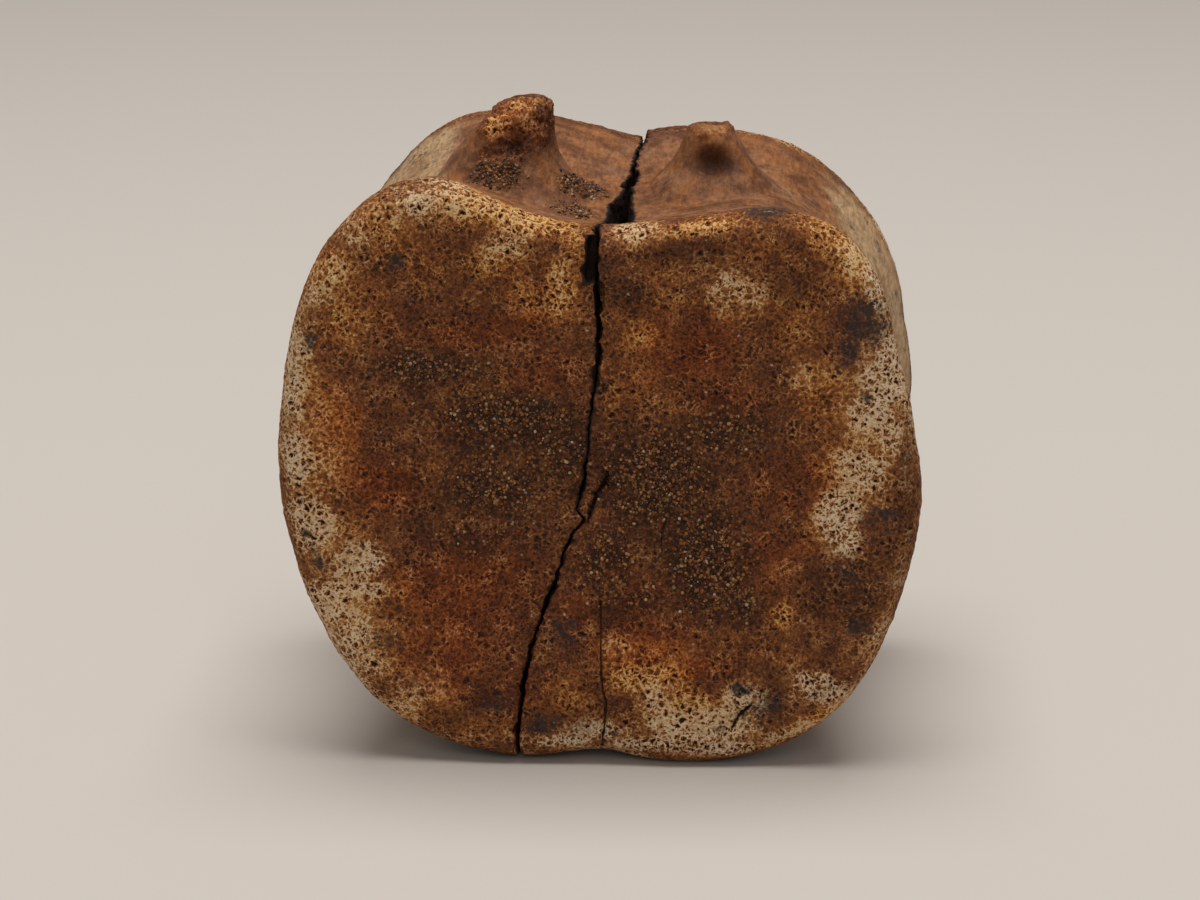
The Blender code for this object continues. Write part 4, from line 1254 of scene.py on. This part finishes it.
@dataclass(frozen=True)
class BoneFinish:
    """Colours of the stained bone, linear. Spongy bone runs from its pores up to the tops of its struts."""

    name: str = "stained_fossil_bone"
    spongy: tuple = (
        (0.00, (0.008, 0.004, 0.003)), (0.16, (0.024, 0.010, 0.005)), (0.32, (0.082, 0.027, 0.011)),
        (0.47, (0.170, 0.057, 0.018)), (0.62, (0.300, 0.117, 0.036)), (0.78, (0.500, 0.285, 0.120)),
        (1.00, (0.740, 0.590, 0.410)),
    )
    ochre: tuple = (
        (0.00, (0.009, 0.004, 0.002)), (0.20, (0.036, 0.011, 0.003)), (0.42, (0.176, 0.048, 0.009)),
        (0.62, (0.372, 0.126, 0.021)), (0.82, (0.570, 0.282, 0.066)), (1.00, (0.720, 0.480, 0.220)),
    )
    fleck: Colour = (0.520, 0.400, 0.280)
    worn: Colour = (0.60, 0.50, 0.42)
    rust: Colour = (1.10, 0.80, 0.60)
    # darkens umber stains, and gives painted shade in the pedicel hollows
    umber: Colour = (0.40, 0.37, 0.38)
    canal: Colour = (0.365, 0.142, 0.044)
    # partly a pinkish tone of the skin, partly painted sheen
    canal_pink_sheen: Colour = (0.350, 0.168, 0.086)
    canal_dark: Colour = (0.150, 0.056, 0.022)
    grain_dark: Colour = (0.58, 0.54, 0.50)
    grain_light: Colour = (1.24, 1.26, 1.27)
    flank: Colour = (0.560, 0.370, 0.200)
    flank_ruddy: Colour = (0.330, 0.150, 0.055)
    flank_dark: Colour = (0.120, 0.105, 0.085)
    sand_dark: Colour = (0.030, 0.012, 0.006)
    sand_brown: Colour = (0.15, 0.046, 0.012)
    sand_yellow: Colour = (0.34, 0.15, 0.04)
    sand_white: Colour = (0.50, 0.38, 0.22)
    # painted shade in the gaps between packed grains
    sand_gap_shade: Colour = (0.016, 0.009, 0.006)
    # colour of black stains, and of painted shade in the hollow of the right pedicel
    black: Colour = (0.030, 0.024, 0.023)
    # painted shade: the colour laid in the cracks, on the walls of the break, in chip beds and in pedicel
    # hollows
    recess_shade: Colour = (0.026, 0.012, 0.008)
    shine: float = 0.22

    def build(self) -> bpy.types.Material:
        """Build the material.

        Returns:
            The material.
        """
        material, sketch, inputs = new_material(self.name)
        patterns = Patterns("ShaderNodeTree")
        place = sketch.found_place()
        masks = masks_of(sketch, patterns, place)
        colour = self.spongy_colour(sketch, patterns, place, masks)
        colour = self.skin_colour(sketch, place, masks, colour)
        colour = self.sand_colour(sketch, patterns, place, masks, colour)
        # Black stains, and painted shade in the hollow of the right pedicel
        blot = sketch.plus_share(masks["black"], sketch.swing(place, Noise.BLOT), 2.4)
        colour = sketch.blend(sketch.span(blot, 0.40, 1.05, 0.0, 0.92), colour, self.black)
        # Painted shade in the cracks, on the walls of the break, in the chip beds and in the pedicel
        # hollows, frayed by noise
        painted_shade = sketch.math("MAXIMUM", sketch.stored("recess_shade"), sketch.times(sketch.stored("crack_shade"), 0.9))
        painted_shade = sketch.plus_share(painted_shade, sketch.swing(place, Noise.SHADOW), 0.9)
        colour = sketch.blend(sketch.span(painted_shade, 0.32, 0.70), colour, self.recess_shade)
        sketch.join(colour, inputs["Base Color"])
        sheen = sketch.span(sketch.noise(place, Noise.SHEEN), 0.3, 0.7, 0.74, 0.94)
        sketch.join(sketch.plus_share(sheen, masks["smooth"], -0.16), inputs["Roughness"])
        inputs["Specular IOR Level"].default_value = self.shine
        fine = sketch.noise(place, Noise.BUMP)
        bump = sketch.add("ShaderNodeBump", {"Height": fine, "Strength": 0.6, "Distance": 0.14 * MM})
        sketch.join(bump.outputs["Normal"], inputs["Normal"])
        return material

    def spongy_colour(self, sketch: Sketch, patterns: Patterns, place: object, masks: dict) -> Socket:
        """Colour the bared bone: dark pores, brown between, pale or ochre on the struts.

        Args:
            sketch: the material's tree.
            patterns: the groups for it.
            place: where the surface is, in mm.
            masks: the frayed patches.

        Returns:
            The colour.
        """
        pores = sketch.group(patterns.pores, {"Place": place, "Openness": masks["open"]})
        net = sketch.math("SUBTRACT", pores.outputs["Strut"], 0.46)
        fine = sketch.swing(place, Noise.FINE)
        level = 0.33
        for value, gain in (
            (masks["pale"], 0.285),
            (masks["ochre"], 0.14),
            (masks["rust"], 0.02),
            (sketch.stored("rim"), 0.15),
            (sketch.swing(place, Noise.BROAD), 0.50),
            (net, sketch.span(masks["open"], 0.32, 0.95, 0.12, 1.20)),
            (fine, sketch.span(masks["open"], 0.32, 0.95, 1.00, 1.30)),
            # The pores are darkened: partly their dark fill, partly painted shade in them
            (pores.outputs["Pore"], -0.42),
        ):
            level = sketch.plus_share(level, value, gain)
        yellow = sketch.times(masks["ochre"], sketch.rest(masks["pale"], 0.35))
        colour = sketch.blend(yellow, sketch.ramp(level, self.spongy), sketch.ramp(level, self.ochre))
        colour = sketch.tone(masks["rust"], colour, self.rust)
        distance, chance = sketch.cells(sketch.warped(place, 0.9, 0.8), 1.7)
        flecks = sketch.times(sketch.span(distance, 0.15, 0.08), sketch.span(chance, 0.76, 0.80, 0.0, 0.75))
        colour = sketch.blend(flecks, colour, self.fleck)
        worn = sketch.span(sketch.noise(place, Noise.WORN), 0.40, 0.56, 0.75, 0.0)
        colour = sketch.tone(sketch.times(worn, masks["pale"]), colour, self.worn)
        # Umber stains, and painted shade in the pedicel hollows
        return sketch.tone(masks["umber"], colour, self.umber)

    def skin_colour(self, sketch: Sketch, place: object, masks: dict, colour: object) -> Socket:
        """Lay the smooth outer skin over the bone: orange-brown in the canal, tan on the flanks.

        Args:
            sketch: the material's tree.
            place: where the surface is, in mm.
            masks: the frayed patches.
            colour: the colour without skin.

        Returns:
            The colour with it.
        """
        patchy = sketch.span(sketch.noise(place, Noise.PATCHY), 0.42, 0.60)
        # Pink patches over the canal skin: partly pinkish tone, partly painted sheen
        pink_sheen = sketch.span(sketch.noise(place, Noise.PINK_SHEEN), 0.40, 0.62)
        canal = sketch.blend(patchy, sketch.blend(pink_sheen, self.canal, self.canal_pink_sheen), self.canal_dark)
        ruddy = sketch.span(sketch.noise(place, Noise.RUDDY), 0.46, 0.66, 0.0, 0.85)
        spots = sketch.noise(place, Noise.SPOTS)
        spots = sketch.plus_share(spots, sketch.swing(place, Noise.SPOTTED_AREAS), 0.35)
        flank = sketch.blend(ruddy, self.flank, self.flank_ruddy)
        flank = sketch.blend(sketch.span(spots, 0.53, 0.66), flank, self.flank_dark)
        limit = sketch.plus_share(sketch.stored("flank"), sketch.swing(place, Noise.FLANK_LIMIT), 1.3)
        skin = sketch.blend(sketch.span(limit, 0.30, 0.72), canal, flank)
        drawn = sketch.vector("MULTIPLY", place, (1.6, 0.32, 0.8))
        grain = sketch.span(sketch.noise(drawn, Noise.SKIN_GRAIN), 0.3, 0.7)
        skin = sketch.tone(1.0, skin, sketch.blend(grain, self.grain_dark, self.grain_light))
        # Umber stains, and painted shade in the pedicel hollows
        skin = sketch.tone(masks["umber"], skin, self.umber)
        return sketch.blend(sketch.times(masks["smooth"], 0.94), colour, skin)

    def sand_colour(self, sketch: Sketch, patterns: Patterns, place: object, masks: dict, colour: object
                    ) -> Socket:
        """Lay dark packed sand over the bone, with its yellow and white grains.

        Args:
            sketch: the material's tree.
            patterns: the groups for it.
            place: where the surface is, in mm.
            masks: the frayed patches.
            colour: the colour without sand.

        Returns:
            The colour with it.
        """
        sand = sketch.group(patterns.sand, {"Place": place})
        grain = self.sand_dark
        for low, high, shade in (
            (0.40, 0.55, self.sand_brown), (0.84, 0.87, self.sand_yellow), (0.97, 0.98, self.sand_white),
        ):
            grain = sketch.blend(sketch.span(sand.outputs["Grain"], low, high), grain, shade)
        # Painted shade in the gaps between the grains
        grain = sketch.blend(sketch.span(sand.outputs["Height"], 0.10, 0.55), self.sand_gap_shade, grain)
        return sketch.blend(sketch.times(masks["sand"], 0.85), colour, grain)


@dataclass(frozen=True)
class GrainFinish:
    """Colours of the loose sand grains, from dark to white, chosen by each grain's own number."""

    name: str = "sand_grain"
    shades: tuple = (
        (0.00, (0.012, 0.008, 0.007)), (0.26, (0.040, 0.016, 0.008)), (0.46, (0.140, 0.046, 0.012)),
        (0.76, (0.270, 0.098, 0.018)), (0.96, (0.400, 0.200, 0.055)), (1.00, (0.520, 0.420, 0.290)),
    )
    dull: Colour = (0.65, 0.6, 0.55)
    bright: Colour = (1.25, 1.25, 1.25)

    def build(self) -> bpy.types.Material:
        """Build the material.

        Returns:
            The material.
        """
        material, sketch, inputs = new_material(self.name)
        tint = sketch.stored("tint")
        dust = sketch.noise(sketch.found_place(), Noise.DUST)
        dust = sketch.blend(dust, self.dull, self.bright)
        sketch.join(sketch.tone(1.0, sketch.ramp(tint, self.shades), dust), inputs["Base Color"])
        sketch.join(sketch.span(tint, 0.0, 1.0, 0.85, 0.5), inputs["Roughness"])
        return material


@dataclass
class SandGrains:
    """Loose sand grains stuck in the sandy hollows of one half.

    Args:
        name: the piece's name.
        bone: the finished half that carries them.
        seed: start of the random draws.
        count: number of grains.
        least: radius of the smallest, in mm.
        most: radius of the largest, in mm.
        sunk: how far a grain's middle stands over the bone, in radii.
    """

    name: str
    bone: bpy.types.Object
    seed: int
    count: int = 5200
    least: float = 0.09
    most: float = 0.34
    sunk: float = 0.15

    def build(self) -> bpy.types.Object:
        """Build the grains as one mesh.

        Returns:
            The finished piece.
        """
        deselect_all()
        bpy.ops.mesh.primitive_ico_sphere_add(subdivisions=1, radius=1.0)
        piece = bpy.context.active_object
        piece.name = self.name
        shape = np.array([vert.co for vert in piece.data.vertices])
        faces = np.array([face.vertices[:] for face in piece.data.polygons])
        places, normals = self.scatter()
        rng = np.random.default_rng(self.seed + 1)
        total = len(places)
        size = self.least + (self.most - self.least) * rng.random(total) ** 2.4
        stretch = 1.0 + 0.35 * (rng.random((total, 3)) - 0.5)
        dents = 1.0 + 0.30 * (rng.random((total, len(shape), 1)) - 0.5)
        turns = np.linalg.qr(rng.normal(size=(total, 3, 3)))[0]
        turns[np.linalg.det(turns) < 0.0] *= -1.0
        local = shape[None] * dents * stretch[:, None] * size[:, None, None]
        corners = np.einsum("nij,nkj->nki", turns, local)
        corners = (corners + (places + normals * size[:, None] * self.sunk)[:, None]).reshape(-1, 3)
        steps = np.arange(total)[:, None, None] * len(shape)
        mesh = bpy.data.meshes.new(self.name)
        mesh.from_pydata((corners * MM).tolist(), [], (faces[None] + steps).reshape(-1, 3).tolist())
        old = piece.data
        piece.data = mesh
        bpy.data.meshes.remove(old)
        keep_values(piece, "tint", np.repeat(rng.random(total), len(shape)))
        keep_values(piece, "place", corners)
        return piece

    def scatter(self) -> tuple[np.ndarray, np.ndarray]:
        """Choose places on the sandy faces.

        Returns:
            The places, in mm, and the normals there.
        """
        mesh = self.bone.data
        mesh.calc_loop_triangles()
        corners = np.empty(len(mesh.loop_triangles) * 3, np.int32)
        mesh.loop_triangles.foreach_get("vertices", corners)
        corners = corners.reshape(-1, 3)
        points = points_of(self.bone)[corners]
        cross = np.cross(points[:, 1] - points[:, 0], points[:, 2] - points[:, 0])
        area = np.linalg.norm(cross, axis=1) / 2
        sandy = np.empty(len(mesh.vertices), np.float32)
        mesh.attributes[Stain.SAND.value].data.foreach_get("value", sandy)
        weight = area * np.clip(sandy[corners].mean(axis=1) - 0.12, 0.0, 1.0) ** 1.6
        rng = np.random.default_rng(self.seed)
        chosen = rng.choice(len(area), self.count, p=weight / weight.sum())
        shares = rng.dirichlet((1.0, 1.0, 1.0), self.count)
        places = (points[chosen] * shares[:, :, None]).sum(axis=1)
        return places, cross[chosen] / (2 * area[chosen, None])


@dataclass
class Studio:
    """Pale floor, soft light and the camera. Lengths are in metres, angles in degrees.

    Args:
        distance: from the camera to its target.
        azimuth: how far the camera stands round from the front.
        elevation: how far it looks down.
        lens: focal length in mm, for a sensor 36 mm wide.
        target: where it looks.
        paper: colour of the floor.
        sky: colour of the light from all round.
        sky_strength: how strong that is.
    """

    distance: float = 0.600
    azimuth: float = 3.3
    elevation: float = 15.0
    lens: float = 114.48
    target: tuple[float, float, float] = (0.00031, -0.03494, 0.0524)
    paper: Colour = (0.635, 0.595, 0.55)
    sky: Colour = (0.92, 0.88, 0.84)
    sky_strength: float = 0.24

    def build(self) -> None:
        """Set up the floor, the lights and the camera."""
        self.build_floor()
        self.build_lights()
        self.build_camera()

    def build_floor(self) -> None:
        """Lay a wide pale floor under the bone."""
        deselect_all()
        bpy.ops.mesh.primitive_circle_add(vertices=96, radius=5.0, fill_type="NGON")
        floor = bpy.context.active_object
        floor.name = "paper_floor"
        material, sketch, inputs = new_material("pale_paper")
        for name, value in (("Base Color", self.paper), ("Roughness", 0.9), ("Specular IOR Level", 0.2)):
            sketch.join(value, inputs[name])
        floor.data.materials.append(material)

    def add_light(self, name: str, place: tuple[float, float, float], size: float, power: float,
                  colour: Colour) -> None:
        """Hang a square soft light that faces the bone.

        Args:
            name: the light's name.
            place: where it hangs.
            size: length of its sides.
            power: its power in watts.
            colour: its colour.
        """
        light = bpy.data.lights.new(name, "AREA")
        light.size = size
        light.energy = power
        light.color = colour
        lamp = bpy.data.objects.new(name, light)
        lamp.location = place
        lamp.rotation_euler = (Vector(place) - Vector((0.0, 0.0, 0.05))).to_track_quat("Z", "Y").to_euler()
        bpy.context.scene.collection.objects.link(lamp)

    def build_lights(self) -> None:
        """Light the bone from above, with a weaker light from the front and some from all round."""
        self.add_light("overhead", (0.0, 0.03, 1.60), 1.2, 22.6, (1.0, 0.965, 0.93))
        self.add_light("front_fill", (0.1, -1.5, 0.9), 0.9, 3.0, (1.0, 0.965, 0.94))
        world = bpy.data.worlds.new("studio")
        world.use_nodes = True
        inputs = world.node_tree.nodes["Background"].inputs
        inputs["Color"].default_value = (*self.sky, 1.0)
        inputs["Strength"].default_value = self.sky_strength
        bpy.context.scene.world = world
        bpy.context.scene.view_settings.view_transform = "Standard"

    def build_camera(self) -> None:
        """Place the camera at the picture's viewing angle."""
        azimuth, elevation = math.radians(self.azimuth), math.radians(self.elevation)
        back = Vector((math.sin(azimuth) * math.cos(elevation), -math.cos(azimuth) * math.cos(elevation),
                       math.sin(elevation)))
        data = bpy.data.cameras.new("camera")
        data.lens = self.lens
        data.sensor_width = 36.0
        camera = bpy.data.objects.new("camera", data)
        camera.location = Vector(self.target) + back * self.distance
        camera.rotation_euler = back.to_track_quat("Z", "Y").to_euler()
        bpy.context.scene.collection.objects.link(camera)
        bpy.context.scene.camera = camera


def main() -> None:
    """Build the studio and the two halves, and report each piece."""
    logging.basicConfig(level=logging.INFO, format="%(message)s")
    Studio().build()
    relief = Relief().modifier_tree()
    finish = BoneFinish().build()
    grain_finish = GrainFinish().build()
    for name, centrum, pedicel, chips, seed in (
        ("bone_left", "centrum_left", "pedicel_left", LEFT_CHIPS, 11),
        ("bone_right", "centrum_right", "pedicel_right", RIGHT_CHIPS, 23),
    ):
        bone = BoneHalf(name, centrum, pedicel, chips, relief).build()
        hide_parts(centrum, pedicel)
        grains = SandGrains(name.replace("bone", "sand_grains"), bone, seed).build()
        for piece, look in ((bone, finish), (grains, grain_finish)):
            piece.data.materials.clear()
            piece.data.materials.append(look)
            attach(piece, "root")
            log.info("%s: %d faces", piece.name, len(piece.data.polygons))


if __name__ == "__main__":
    main()
